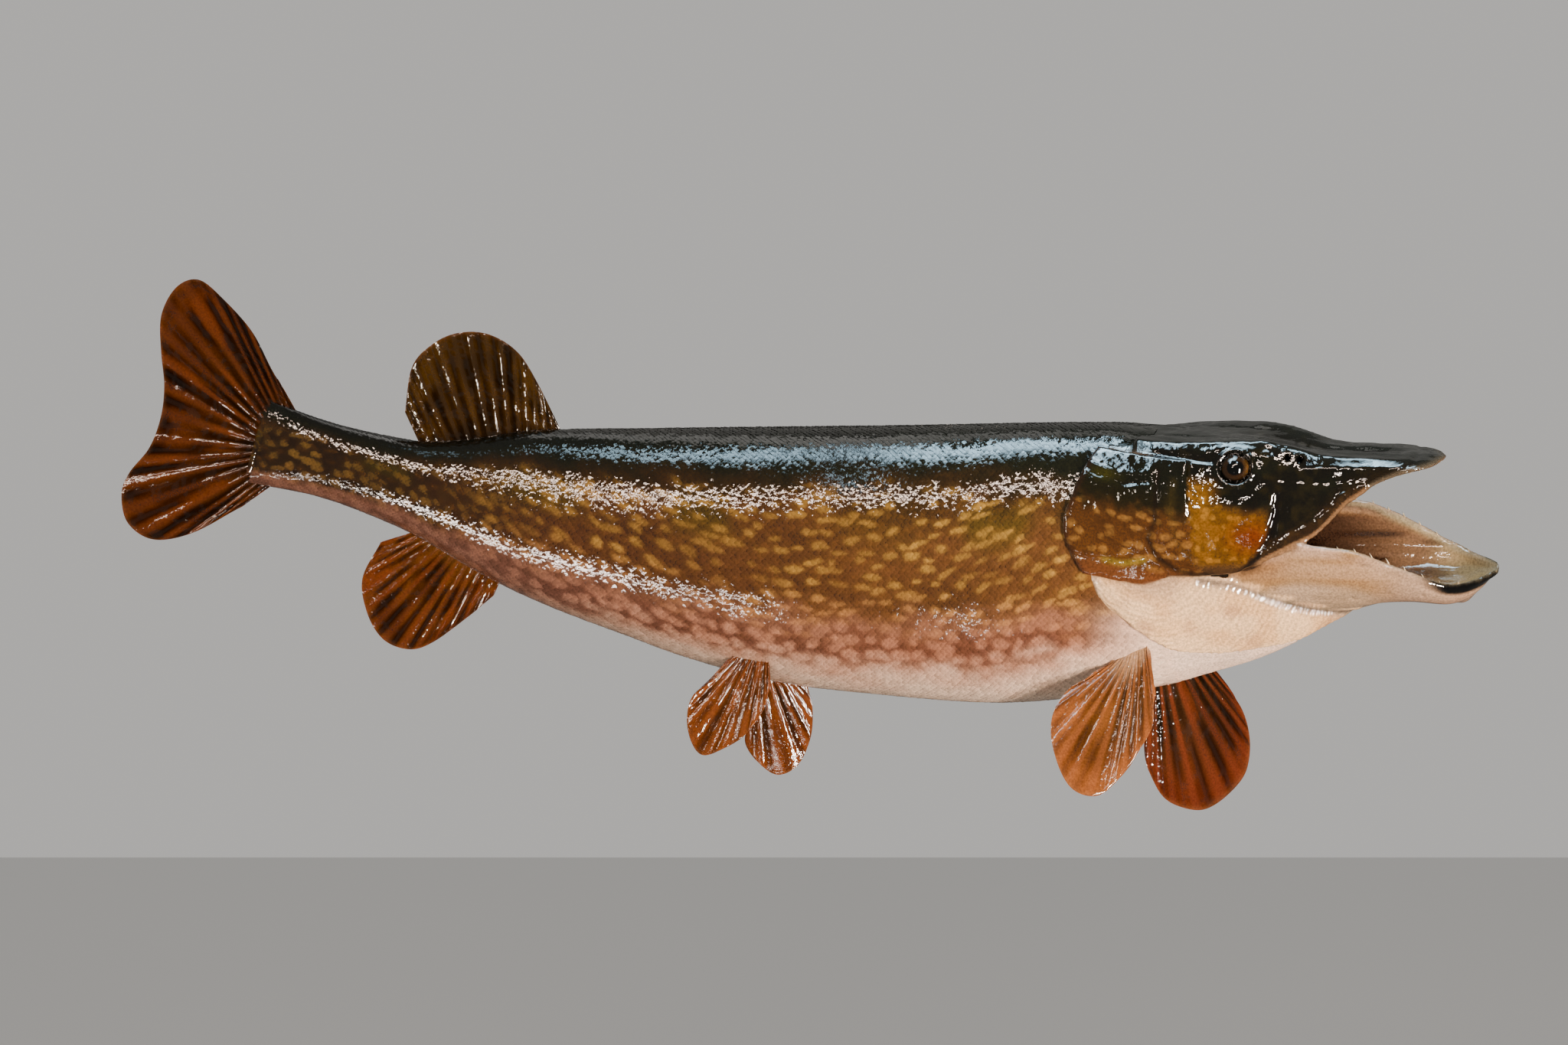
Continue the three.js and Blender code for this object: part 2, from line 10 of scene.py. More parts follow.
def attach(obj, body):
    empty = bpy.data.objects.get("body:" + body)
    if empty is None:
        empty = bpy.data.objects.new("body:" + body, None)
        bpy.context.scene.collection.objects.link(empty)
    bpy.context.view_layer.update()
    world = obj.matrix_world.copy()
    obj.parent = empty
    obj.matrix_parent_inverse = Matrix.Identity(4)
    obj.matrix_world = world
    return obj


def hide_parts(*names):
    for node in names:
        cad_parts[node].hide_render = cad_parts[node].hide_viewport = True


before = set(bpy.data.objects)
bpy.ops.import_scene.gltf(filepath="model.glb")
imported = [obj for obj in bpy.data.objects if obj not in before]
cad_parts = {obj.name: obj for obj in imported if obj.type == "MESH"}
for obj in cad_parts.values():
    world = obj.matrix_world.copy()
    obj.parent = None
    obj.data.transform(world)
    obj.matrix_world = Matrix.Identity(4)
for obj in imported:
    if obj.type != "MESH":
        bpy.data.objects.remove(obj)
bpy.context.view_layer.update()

# --- Studio -------------------------------------------------------------------------------------
# A plain pale floor well below the hanging fish, warm soft boxes over the camera, a cool sky above
# the back, and narrow low panels for the belly, throat and tail. The camera is level with the fish.
CAMERA_DISTANCE = 2.100
CAMERA_AT = (-0.0326, -0.068 - CAMERA_DISTANCE, 0.0102)
LENS_MM = 63.3
FLOOR_Z = -0.80
FLOOR_SIZE = 9.0
FLOOR_PALE = (0.72, 0.71, 0.69, 1)
ROOM_DIM = (0.90, 0.86, 0.80)
WALL_PALE = (0.60, 0.585, 0.565)


def deselect():
    bpy.ops.object.select_all(action="DESELECT")


def new_material(name):
    """An empty material and its node tree."""
    material = bpy.data.materials.new(name)
    material.use_nodes = True
    material.node_tree.nodes.clear()
    return material, material.node_tree


def node(tree, kind, inputs=None, **settings):
    """A shader node, each input given as a plain value or as the output it is linked to."""
    made = tree.nodes.new("ShaderNode" + kind)
    for setting, value in settings.items():
        setattr(made, setting, value)
    for socket, value in (inputs or {}).items():
        if isinstance(value, bpy.types.NodeSocket):
            tree.links.new(value, made.inputs[socket])
        else:
            made.inputs[socket].default_value = value
    return made


def panel(name, at, towards, size, watts, colour, spread=180):
    """A rectangular soft light at a place, turned to face a point, its beam spread in degrees."""
    lamp = bpy.data.lights.new(name, "AREA")
    lamp.shape = "RECTANGLE"
    lamp.size = size[0]
    lamp.size_y = size[1]
    lamp.energy = watts
    lamp.color = colour
    lamp.spread = math.radians(spread)
    holder = bpy.data.objects.new(name, lamp)
    bpy.context.collection.objects.link(holder)
    holder.location = at
    holder.rotation_euler = (Vector(towards) - Vector(at)).to_track_quat("-Z", "Y").to_euler()
    return holder


deselect()
camera = bpy.data.cameras.new("camera")
camera.lens = LENS_MM
camera.sensor_width = 36.0
camera_holder = bpy.data.objects.new("camera", camera)
bpy.context.collection.objects.link(camera_holder)
camera_holder.location = CAMERA_AT
camera_holder.rotation_euler = (math.radians(90), 0, 0)
bpy.context.scene.camera = camera_holder

WARM = (1.0, 0.77, 0.64)
SKY = (0.55, 0.82, 1.0)
for number, (x, z) in enumerate(((-0.55, 0.82), (-0.14, 1.07), (0.27, 1.15))):
    panel("warm_strip_%d" % number, (x, -2.10, z), (x * 0.3, -0.07, 0), (0.40, 0.115), 5.4, WARM)
for name, at, towards, size, watts, colour, spread in (
        ("overhead_rear", (-0.58, -0.40, 1.25), (0.22, -0.17, 0.06), (0.75, 1.20), 0.45, SKY, 34),
        ("overhead", (-0.28, -0.45, 1.25), (0.36, -0.17, 0.06), (0.36, 1.00), 0.75, SKY, 34),
        ("overhead_front", (0.20, -0.42, 1.25), (0.37, -0.17, 0.06), (0.50, 0.95), 1.15, SKY, 42),
        ("overhead_nose", (0.53, -1.40, 1.25), (0.38, -0.20, 0.05), (0.46, 0.64), 0.13, SKY, 16),
        ("overhead_temple", (-0.85, -0.95, 1.25), (0.29, -0.19, 0.06), (0.36, 0.56), 0.10, SKY, 20),
        ("top_glow", (-0.05, 0.28, 1.25), (-0.32, -0.07, 0.05), (0.9, 0.42), 0.11, (1.0, 0.97, 0.92), 50),
        ("behind", (0, 0.95, 1.05), (0, -0.07, 0), (2.4, 0.9), 1.2, (1.0, 0.96, 0.90), 180),
        ("low_strip", (-0.6, -1.26, -0.6), (-0.38, -0.1, -0.02), (0.42, 0.15), 0.27, (1.0, 0.86, 0.77), 36),
        ("low_line", (-0.2, -1.26, -0.6), (-0.15, -0.1, -0.03), (0.3, 0.04), 0.05, (1.0, 0.88, 0.80), 36),
        ("tail_fill", (-1.6, -2.0, 0.15), (-0.42, -0.1, 0), (0.1, 0.4), 0.75, (1.0, 0.86, 0.72), 27),
        ("mouth_fill", (1.2, -2.2, -0.25), (0.38, -0.1, 0), (0.12, 0.4), 15, (1.0, 0.84, 0.70), 180),
        ("head_fill", (1.1, -2.2, -0.35), (0.38, -0.15, -0.05), (0.14, 0.4), 2.0, (1.0, 0.86, 0.74), 30),
        ("throat_fill", (0.9, -1.6, -0.75), (0.22, -0.13, -0.12), (0.12, 0.3), 0.85, (1.0, 0.88, 0.8), 22),
        ("cheek_spark", (-0.75, -2.1, 0.35), (0.33, -0.2, 0.03), (0.16, 0.06), 0.026, (1.0, 0.84, 0.74), 16)):
    panel(name, at, towards, size, watts, colour, spread)

bpy.ops.mesh.primitive_plane_add(size=FLOOR_SIZE, location=(0, 0, FLOOR_Z))
floor = bpy.context.object
floor.name = "floor"
floor_material, tree = new_material("pale_floor")
shader = node(tree, "BsdfPrincipled", {"Base Color": FLOOR_PALE, "Roughness": 0.9,
                                       "Emission Color": FLOOR_PALE, "Emission Strength": 0.35})
node(tree, "OutputMaterial", {0: shader.outputs[0]})
floor.data.materials.append(floor_material)
floor.visible_glossy = False

# The camera sees a pale surround, while the gloss reflects a dimmer one, as in a dark room.
world = bpy.data.worlds.new("studio")
bpy.context.scene.world = world
world.use_nodes = True
tree = world.node_tree
tree.nodes.clear()
seen = node(tree, "Background", {"Color": (*WALL_PALE, 1), "Strength": 0.85})
unseen = node(tree, "Background", {"Color": (*ROOM_DIM, 1), "Strength": 0.13})
path = node(tree, "LightPath")
choose = node(tree, "MixShader", {0: path.outputs["Is Camera Ray"], 1: unseen.outputs[0],
                                  2: seen.outputs[0]})
node(tree, "OutputWorld", {0: choose.outputs[0]})

# --- Skin ---------------------------------------------------------------------------------------
# The mounted skin: head with open mouth, gill covers and membranes, dropped lower jaw, trunk and
# tail in one piece, stretched over a foam body and glued. It is shaped on a straight fish, in
# millimetres: s back from the snout tip, v out to the right side, z up; then bent into the pose.
WALL_TO_SPINE = 68.0
SPINE_ANCHOR_S = 464.0
SPINE_STEP = 2.0
HEAD_END = 208.0
SCALE_DEPTH = 0.9


def ease(low, high, x):
    t = np.clip((np.asarray(x, float) - low) / (high - low), 0, 1)
    return t * t * (3 - 2 * t)


def mix(a, b, t):
    return a + (b - a) * t


def curve(*knots):
    """A smooth curve through (at, value) knots that never overshoots them, flat beyond its ends."""
    at = np.array([knot[0] for knot in knots], float)
    value = np.array([knot[1] for knot in knots], float)
    rise = np.diff(value) / np.diff(at)
    slope = np.zeros(len(at))
    slope[0] = rise[0]
    slope[-1] = rise[-1]
    turns = rise[:-1] * rise[1:]
    total = np.where(np.abs(rise[:-1] + rise[1:]) > 1e-12, rise[:-1] + rise[1:], 1)
    slope[1:-1] = np.where(turns > 0, 2 * turns / total, 0)

    def read(x):
        x = np.clip(np.asarray(x, float), at[0], at[-1])
        i = np.clip(np.searchsorted(at, x, side="right") - 1, 0, len(at) - 2)
        width = at[i + 1] - at[i]
        t = (x - at[i]) / width
        h = t * t * (3 - 2 * t)
        bend = width * t * (1 - t) * ((1 - t) * slope[i] - t * slope[i + 1])
        return value[i] * (1 - h) + value[i + 1] * h + bend

    return read


def body_axes(s):
    """Unit vectors ahead, out to the right side and up the body, for each s."""
    yaw = np.radians(22 * (1 - ease(230, 520, s)) - 15 * ease(620, 980, s))
    lift = np.radians(15.5 * ease(540, 745, s))
    roll = np.radians(18 * (1 - ease(160, 300, s)) - 3 * ease(160, 300, s) * (1 - ease(560, 760, s)))
    ahead = np.stack([np.cos(yaw) * np.cos(lift), -np.sin(yaw) * np.cos(lift), -np.sin(lift)], -1)
    side = np.stack([-np.sin(yaw), -np.cos(yaw), 0 * yaw], -1)
    up = np.cross(side, ahead)
    up = up / np.linalg.norm(up, axis=-1, keepdims=True)
    turn = roll[..., None]
    out = side * np.cos(turn) - up * np.sin(turn)
    high = up * np.cos(turn) + side * np.sin(turn)
    return ahead, out, high


spine_s = np.arange(-80, 1040 + SPINE_STEP, SPINE_STEP)
between = body_axes(spine_s[:-1] + SPINE_STEP / 2)[0] * -SPINE_STEP
spine_points = np.vstack([[0, 0, 0], np.cumsum(between, axis=0)])
anchor = int(np.argmin(np.abs(spine_s - SPINE_ANCHOR_S)))
spine_points = spine_points - spine_points[anchor] + [0, -WALL_TO_SPINE, 3.0]


def pose(straight):
    """Bends points of the straight fish, in millimetres, to their place on the mount, in metres."""
    straight = np.asarray(straight, float)
    s = straight[..., 0]
    place = np.stack([np.interp(s, spine_s, spine_points[:, k]) for k in range(3)], -1)
    out, high = body_axes(s)[1:]
    return (place + out * straight[..., 1:2] + high * straight[..., 2:3]) / 1000


back_line = curve((150, 75), (208, 80), (260, 82), (450, 80.6), (570, 79.3), (637, 74.9), (702, 62.8),
                  (758, 40.4), (790, 31), (850, 27.3), (906, 31))
belly_line = curve((110, -83), (145, -99), (204, -115), (260, -122.5), (335, -128.7), (452, -121),
                   (511, -112.5), (568, -96.3), (620, -78.2), (711, -54.9), (790, -35), (849, -29.7),
                   (906, -34))
half_width = curve((150, 42), (208, 51), (270, 58), (340, 65), (460, 66), (560, 58), (650, 45),
                   (730, 31), (800, 20), (860, 12.5), (906, 6))


def widest_at(s):
    return -6 * (1 - ease(500, 800, s))


def trunk_section(s, above):
    """The trunk's middle, its reach from there and its roundness, above or below its widest line."""
    middle = widest_at(s)
    reach = np.where(above, back_line(s) - middle, middle - belly_line(s))
    return middle, reach, np.where(above, mix(2.7, 2.25, ease(250, 420, s)), 2.3)


def trunk_point(s, angle, grow=0.0):
    """(s, v, z) on the trunk's surface; angle 0 is the right side, a quarter turn the back."""
    across = np.cos(angle)
    up = np.sin(angle)
    middle, reach, power = trunk_section(s, up > 0)
    v = (half_width(s) + grow) * np.sign(across) * np.abs(across) ** (2 / power)
    z = middle + (reach + grow) * np.sign(up) * np.abs(up) ** (2 / power)
    return np.stack(np.broadcast_arrays(s, v, z), -1)


crown_line = curve((0, 57.5), (12, 59.5), (30, 61), (60, 62), (85, 63.5), (110, 69), (135, 74),
                   (170, 77.5), (HEAD_END, 80))
ridge_out = curve((0, 4), (12, 14), (30, 19), (60, 20), (90, 22), (125, 26), (160, 28), (HEAD_END, 31))
ridge_line = curve((0, 56.5), (12, 58.5), (30, 60.5), (60, 62), (78, 63.5), (92, 68), (107, 73),
                   (127, 77), (150, 77.5), (183, 76.5), (HEAD_END, 75))
lip_out = curve((0, 7), (4, 17), (12, 24), (25, 27.5), (45, 28.5), (65, 31), (88, 38), (105, 43),
                (125, 48), (145, 50.5), (175, 53), (HEAD_END, 55))
lip_line = curve((0, 54.5), (21, 52.3), (42, 45), (54, 38), (65, 31), (76, 20), (88, 9.5), (105, 2),
                 (125, -7), (145, -15), (HEAD_END, -18))
palate_line = curve((0, 54.5), (20, 53.5), (45, 50), (80, 43), (120, 32), (165, 14), (HEAD_END, 4))
LIP_THICKNESS = 4.0


def both_sides(half):
    """A closed section from its right half, which starts and ends on the middle plane."""
    return half + [(-v, z) for v, z in half[-2:0:-1]]


def side_out(s, down):
    return mix(ridge_out(s), lip_out(s), 1 - (1 - down) ** 3)


def head_ring(s):
    """The head's section at s: over the crown, down the side to the lip, and up to the palate."""
    half = [(0 * s, crown_line(s)), (ridge_out(s) * 0.35, mix(crown_line(s), ridge_line(s), 0.3)),
            (ridge_out(s) * 0.7, mix(crown_line(s), ridge_line(s), 0.8)), (ridge_out(s), ridge_line(s))]
    for down in (0.05, 0.11, 0.18, 0.26, 0.35, 0.45, 0.56, 0.68, 0.80, 0.91, 1.0):
        half.append((side_out(s, down), mix(ridge_line(s), lip_line(s), down)))
    inside = side_out(s, 1.0) - np.minimum(LIP_THICKNESS, lip_out(s) * 0.3)
    for across, up in ((1, 0), (0.97, 0.25), (0.9, 0.5), (0.78, 0.72), (0.6, 0.88), (0.35, 0.97), (0, 1)):
        half.append((inside * across, mix(lip_line(s), palate_line(s), up)))
    return both_sides(half)


JAW_TIP = -34.0
JAW_BACK = 150.0
JAW_TWIST = 7.5
JAW_AXIS_Z = -20.0
rim_line = curve((JAW_TIP, -25), (-15, -27), (1, -23), (23, -12), (44, -1.7), (66, 6.8), (97, 9),
                 (120, 0), (JAW_BACK, -14))
rim_out = curve((JAW_TIP, 4), (-29, 12), (-15, 25), (1, 35), (30, 40), (66, 43), (100, 43),
                (JAW_BACK, 44))
chin_line = curve((JAW_TIP, -29), (-24, -38), (-12, -46.5), (0, -48.5), (20, -47), (41, -48.5),
                  (69, -55.5), (110, -58), (JAW_BACK, -52))


def twisted(s, v, z, way=1):
    """Turns a point of the lower jaw about its length by the jaw's twist; way -1 turns it back."""
    twist = way * np.radians(JAW_TWIST * (1 - ease(70, 140, s)))
    up = z - JAW_AXIS_Z
    return v * np.cos(twist) + up * np.sin(twist), up * np.cos(twist) - v * np.sin(twist) + JAW_AXIS_Z


def jaw_ring(s):
    """The lower jaw's section at s: a trough, from under the chin up to the rim and down inside."""
    rim, chin, wide = rim_line(s), chin_line(s), rim_out(s)
    wall = np.minimum(4.5, wide * 0.4)
    bottom = chin + np.minimum(9, (rim - chin) * 0.45)
    half = []
    for across, up in ((0, 0), (0.34, 0.04), (0.66, 0.16), (0.82, 0.29), (0.92, 0.45), (1.0, 0.7),
                       (1.0, 0.92), (0.97, 1.0)):
        half.append((wide * across, mix(chin, rim, up)))
    for across, up in ((1, 1), (0.95, 0.7), (0.84, 0.42), (0.68, 0.22), (0.45, 0.08), (0, 0)):
        half.append(((wide - wall) * across, mix(bottom, rim, up)))
    return [twisted(s, v, z) for v, z in both_sides(half)]


keel_top = curve((112, -77), (140, -62), (170, -34), (208, -20))
keel_out = curve((112, 6), (140, 15), (170, 27), (208, 43))


def keel_ring(s):
    """The breast's keel, running forward between the gill membranes to the isthmus."""
    top, bottom, wide = keel_top(s), belly_line(s), keel_out(s)
    half = [(0 * s, top), (wide * 0.85, top - 2), (wide, mix(top, bottom, 0.35)),
            (wide * 0.9, mix(top, bottom, 0.6)), (wide * 0.66, mix(top, bottom, 0.84)),
            (wide * 0.3, mix(top, bottom, 0.97)), (0 * s, bottom)]
    return both_sides(half)


gill_front = curve((-28, 186), (-12, 194), (10, 199), (64, 199))
gill_rear = curve((-30, 251), (-10, 263), (4, 267), (33, 259), (60, 247), (66, 243))
gill_out = curve((150, 52), (196, 56), (235, 60), (269, 62))
GILL_TOP = 66.0
GILL_BOTTOM = -27.0


def gill_point(down, back, side):
    """The gill cover's outer face: down from its top edge, back from the cheek to its free edge."""
    z = mix(GILL_TOP, GILL_BOTTOM + 13 * (1 - ease(0.05, 0.6, back)), down)
    s = mix(gill_front(z) - 24, gill_rear(z), back)
    reach = np.where(z > -5, 87, 107)
    power = np.where(z > -5, 2.7, 2.3)
    v = gill_out(s) * (1 - (np.abs(z + 5) / reach) ** power) ** (1 / power)
    return np.stack([s, side * (v - 1.4), z], -1)


membrane_top = [curve(*zip((0, 0.25, 0.5, 0.75, 1), knots)) for knots in
                ((248, 205, 160, 118, 62), (53, 52, 48, 37, 13), (-26, -20, -18, -37, -50))]
membrane_edge = [curve(*zip((0, 0.18, 0.36, 0.56, 0.8, 1), knots)) for knots in
                 ((241, 210, 186, 156, 112, 64), (53, 50, 42, 35, 26, 10), (-43, -68, -79, -81, -75, -54))]


def membrane_point(down, ahead, side):
    """The gill membrane's face, from under the gill cover to its free edge, rear to front."""
    top = [line(ahead) for line in membrane_top]
    edge = [line(ahead) for line in membrane_edge]
    s, v, z = [mix(a, b, down) for a, b in zip(top, edge)]
    return np.stack([s, side * (v + 3.5 * np.sin(np.pi * down) - 1.2), z], -1)


def maxilla_point(down, back, side):
    """The bony plate that stiffens the rear half of the upper lip."""
    s = mix(50, 131, back)
    height = 9.5 * np.sin(np.pi * np.clip(0.12 + 0.80 * back, 0, 1)) ** 0.6 + 2
    z = lip_line(s) + height * (1 - down) - 0.8
    v = side_out(s, np.clip((ridge_line(s) - z) / (ridge_line(s) - lip_line(s)), 0, 1)) + 0.5
    return np.stack([s, side * v, z], -1)


def points_of(piece):
    flat = np.empty(len(piece.data.vertices) * 3)
    piece.data.vertices.foreach_get("co", flat)
    return flat.reshape(-1, 3)


def normals_of(piece):
    flat = np.empty(len(piece.data.vertices) * 3)
    piece.data.vertex_normals.foreach_get("vector", flat)
    return flat.reshape(-1, 3)


def put_points(piece, points):
    piece.data.vertices.foreach_set("co", np.ascontiguousarray(points, dtype=float).ravel())
    piece.data.update()


def sheet(name, rows, columns, place):
    """A grid primitive whose points are set out by place(down, along), each from 0 to 1."""
    deselect()
    bpy.ops.mesh.primitive_grid_add(x_subdivisions=columns, y_subdivisions=rows, size=1)
    piece = bpy.context.object
    piece.name = name
    flat = points_of(piece) + 0.5
    put_points(piece, place(flat[:, 1], flat[:, 0]))
    return piece


def pick(piece):
    deselect()
    piece.select_set(True)
    bpy.context.view_layer.objects.active = piece


def apply(piece, kind, **settings):
    """Adds a modifier with these settings and applies it."""
    pick(piece)
    modifier = piece.modifiers.new(kind, kind)
    for setting, value in settings.items():
        setattr(modifier, setting, value)
    bpy.ops.object.modifier_apply(modifier=modifier.name)


def face_outward(piece, merge=False, fill=False):
    """Turns a piece's faces outward, after merging doubled points and filling open ends if asked."""
    pick(piece)
    bpy.ops.object.mode_set(mode="EDIT")
    bpy.ops.mesh.select_all(action="SELECT")
    if merge:
        bpy.ops.mesh.remove_doubles(threshold=0.001)
    if fill:
        bpy.ops.mesh.fill_holes(sides=0)
        bpy.ops.mesh.select_all(action="SELECT")
    bpy.ops.mesh.normals_make_consistent(inside=False)
    bpy.ops.object.mode_set(mode="OBJECT")


def tube(name, stations, ring):
    """A closed body skinned over the sections that ring(s) gives, its ends filled."""
    sections = np.array([[(s, v, z) for v, z in ring(s)] for s in stations])
    count = sections.shape[1]
    wrapped = np.concatenate([sections, sections[:, :1]], 1)

    def place(down, along):
        i = np.rint(down * (len(stations) - 1)).astype(int)
        j = np.rint(along * count).astype(int)
        return wrapped[i, j]

    piece = sheet(name, len(stations) - 1, count, place)
    face_outward(piece, merge=True, fill=True)
    return piece


def join(pieces, name):
    pick(pieces[0])
    for piece in pieces:
        piece.select_set(True)
    bpy.ops.object.join()
    pieces[0].name = name
    return pieces[0]


# Closed shells of the head's parts. Marks are points that say what each place belongs to, so that
# paint and relief know outside from inside.
HEAD_VOXEL = 1.5
HEAD_CUT = 276.0
SKIN_TRIANGLES = 165000
MARK_LIFT = 1.5
SIDES = ((1, "right"), (-1, "left"))
PARTS = 10
OUTSIDE, PALATE, JAW, JAW_INSIDE, BREAST, TRUNK, GILL, MEMBRANE, MAXILLA, HIDDEN = range(PARTS)
trunk_angles = np.linspace(0, 2 * np.pi, 97)[:-1]
shells = [
    tube("skull", np.concatenate([[-1.2], np.linspace(0, HEAD_END + 8, 60)]), head_ring),
    tube("mandible", np.linspace(JAW_TIP, JAW_BACK, 56), jaw_ring),
    tube("breast_keel", np.linspace(112, 230, 30), keel_ring),
    tube("trunk_front", np.linspace(HEAD_END - 6, HEAD_CUT + 6, 30),
         lambda s: [tuple(trunk_point(s, a, -SCALE_DEPTH)[1:]) for a in trunk_angles])]
marks = []
for part, inner, stations, ring_of, outer_points in (
        (OUTSIDE, PALATE, np.arange(0, HEAD_END + 2, 2.0), head_ring, 14),
        (JAW, JAW_INSIDE, np.arange(JAW_TIP, JAW_BACK + 1, 2.0), jaw_ring, 7),
        (BREAST, BREAST, np.arange(112, 222, 2.5), keel_ring, 0)):
    for s in stations:
        ring = ring_of(s)
        for i, (v, z) in enumerate(ring):
            marks.append((s, v, z, part if min(i, len(ring) - i) <= outer_points else inner))
for s in np.arange(204, 306, 3.0):
    marks.extend((*point, TRUNK) for point in trunk_point(np.full(48, s), trunk_angles[::2]))
for side, side_name in SIDES:
    for name, kind, face, rows, columns, thickness in (
            ("gill_cover", GILL, gill_point, 34, 40, 3.0),
            ("gill_membrane", MEMBRANE, membrane_point, 24, 60, 2.6),
            ("maxilla", MAXILLA, maxilla_point, 10, 40, 2.6)):
        plate = sheet(name + "_" + side_name, rows, columns, lambda down, along: face(down, along, side))
        outward = np.array([0, side * MARK_LIFT, 0])
        at = points_of(plate)
        marks.extend((*point, kind) for point in at + outward)
        if kind != MAXILLA:
            marks.extend((*point, HIDDEN) for point in at - outward if kind != GILL or point[0] > 204)
        apply(plate, "SOLIDIFY", thickness=thickness, offset=0, use_even_offset=False)
        shells.append(plate)
marks = np.array(marks)

skin = join(shells, "skin")
apply(skin, "REMESH", mode="VOXEL", voxel_size=HEAD_VOXEL, adaptivity=0.0)
apply(skin, "SMOOTH", factor=0.5, iterations=4)


def nearest_mark(points):
    """What each point belongs to, from the guide point closest to it."""
    tree = KDTree(len(marks))
    for i, mark in enumerate(marks):
        tree.insert(mark[:3], i)
    tree.balance()
    return marks[[tree.find(point)[1] for point in points], 3].astype(int)


# Where nothing shows, inside the throat and under the scales, the mesh is thinned out.
at = points_of(skin)
kind = nearest_mark(at)
deep = (kind == HIDDEN) | (kind == TRUNK) & (at[:, 0] < 262) | (kind == PALATE) & (at[:, 0] > 105)
deep |= (kind == JAW_INSIDE) & (at[:, 0] > 90) | (kind == BREAST)
thin = skin.vertex_groups.new(name="thin")
thin.add([int(i) for i in np.flatnonzero(deep)], 1.0, "REPLACE")
triangles = 2 * len(skin.data.polygons)
apply(skin, "DECIMATE", ratio=min(1.0, SKIN_TRIANGLES / triangles), vertex_group="thin")
skin.vertex_groups.clear()

# The trunk and tail are a smooth loft, bridged to the head's cut edge so that no seam shows.
TRUNK_RING = 96
bpy.ops.object.mode_set(mode="EDIT")
bpy.ops.mesh.select_all(action="SELECT")
bpy.ops.mesh.bisect(plane_co=(HEAD_CUT, 0, 0), plane_no=(1, 0, 0), clear_outer=True)
bpy.ops.object.mode_set(mode="OBJECT")
tail_stations = np.concatenate([np.linspace(HEAD_CUT + 3, 880, 110), np.linspace(884, 905, 6)])
body_angles = np.linspace(0, 2 * np.pi, TRUNK_RING + 1)


def body_place(down, along):
    i = np.rint(down * (len(tail_stations) - 1)).astype(int)
    s = tail_stations[i]
    shrink = ease(906, 888, s)
    point = trunk_point(s, body_angles[np.rint(along * TRUNK_RING).astype(int)], -SCALE_DEPTH)
    point[:, 1] *= mix(0.35, 1, shrink)
    return point


trunk = sheet("trunk", len(tail_stations) - 1, TRUNK_RING, body_place)
face_outward(trunk, merge=True)
join([skin, trunk], "skin")
form = bmesh.new()
form.from_mesh(skin.data)
edges = [edge for edge in form.edges if len(edge.link_faces) == 1]
joint = [edge for edge in edges if edge.verts[0].co.x < HEAD_CUT + 8]
bmesh.ops.bridge_loops(form, edges=joint)
end = [edge for edge in edges if edge.verts[0].co.x > 890]
bmesh.ops.holes_fill(form, edges=end, sides=0)
bmesh.ops.recalc_face_normals(form, faces=form.faces)
form.to_mesh(skin.data)
form.free()


def linear(red, green, blue):
    """A colour given as screen values 0 to 255, as linear light."""
    c = np.array([red, green, blue]) / 255
    return np.where(c < 0.04045, c / 12.92, ((c + 0.055) / 1.055) ** 2.4)


def chance(*keys):
    """A repeatable random number from 0 to 1 for each set of whole-number keys."""
    mixed = np.zeros(np.broadcast(*keys).shape, np.int64)
    for factor, key in zip((73856093, 19349663, 83492791, 49979687), keys):
        mixed ^= np.asarray(key).astype(np.int64) * factor
    mixed = (mixed ^ (mixed >> 13)) * 1274126177 & 0xFFFFFFFF
    mixed = (mixed ^ (mixed >> 15)) * 668265263 & 0xFFFFFFFF
    return (mixed ^ (mixed >> 16)) % 65521 / 65521


def noise(points, size, seed):
    """Smooth noise from -1 to 1; size is one length, or one for each axis."""
    cell = points / np.asarray(size, float)
    low = np.floor(cell).astype(np.int64)
    t = cell - low
    t = t * t * (3 - 2 * t)
    total = 0
    for i in (0, 1):
        for j in (0, 1):
            for k in (0, 1):
                weight = np.prod(np.where([i, j, k], t, 1 - t), axis=-1)
                total = total + weight * chance(low[..., 0] + i, low[..., 1] + j, low[..., 2] + k, seed)
    return total * 2 - 1


def distance(across, up, path):
    """How far each point lies from a bent line, in the plane of these two coordinates."""
    best = np.full(np.shape(across), 1e9)
    for (x0, y0), (x1, y1) in zip(path[:-1], path[1:]):
        dx, dy = x1 - x0, y1 - y0
        t = np.clip(((across - x0) * dx + (up - y0) * dy) / (dx * dx + dy * dy), 0, 1)
        best = np.minimum(best, np.hypot(across - x0 - t * dx, up - y0 - t * dy))
    return best


def bell(gap, width):
    return np.exp(-(gap / width) ** 2)


# How far round the half girth a point lies: 0 under the belly, 1 on the back.
girth_s = np.arange(150.0, 912.0, 4.0)
quarter = np.linspace(-np.pi / 2, np.pi / 2, 181)
girth_points = trunk_point(girth_s[:, None], quarter[None, :])
girth_steps = np.linalg.norm(np.diff(girth_points, axis=1), axis=2)
girth_arc = np.concatenate([np.zeros((len(girth_s), 1)), np.cumsum(girth_steps, axis=1)], axis=1)
half_girth = girth_arc[:, -1]
turn_at = np.array([np.interp(np.linspace(0, 1, 241), arc / arc[-1], quarter) for arc in girth_arc])


def table_at(table, s, along):
    """Reads a table whose rows are the girth's stations and whose columns run evenly from 0 to 1."""
    row = np.clip((s - girth_s[0]) / 4.0, 0, len(girth_s) - 1.001)
    column = np.clip(along * (table.shape[1] - 1), 0, table.shape[1] - 1.001)
    i, j = row.astype(int), column.astype(int)
    p, q = row - i, column - j
    top = table[i, j] * (1 - q) + table[i, j + 1] * q
    return top * (1 - p) + (table[i + 1, j] * (1 - q) + table[i + 1, j + 1] * q) * p


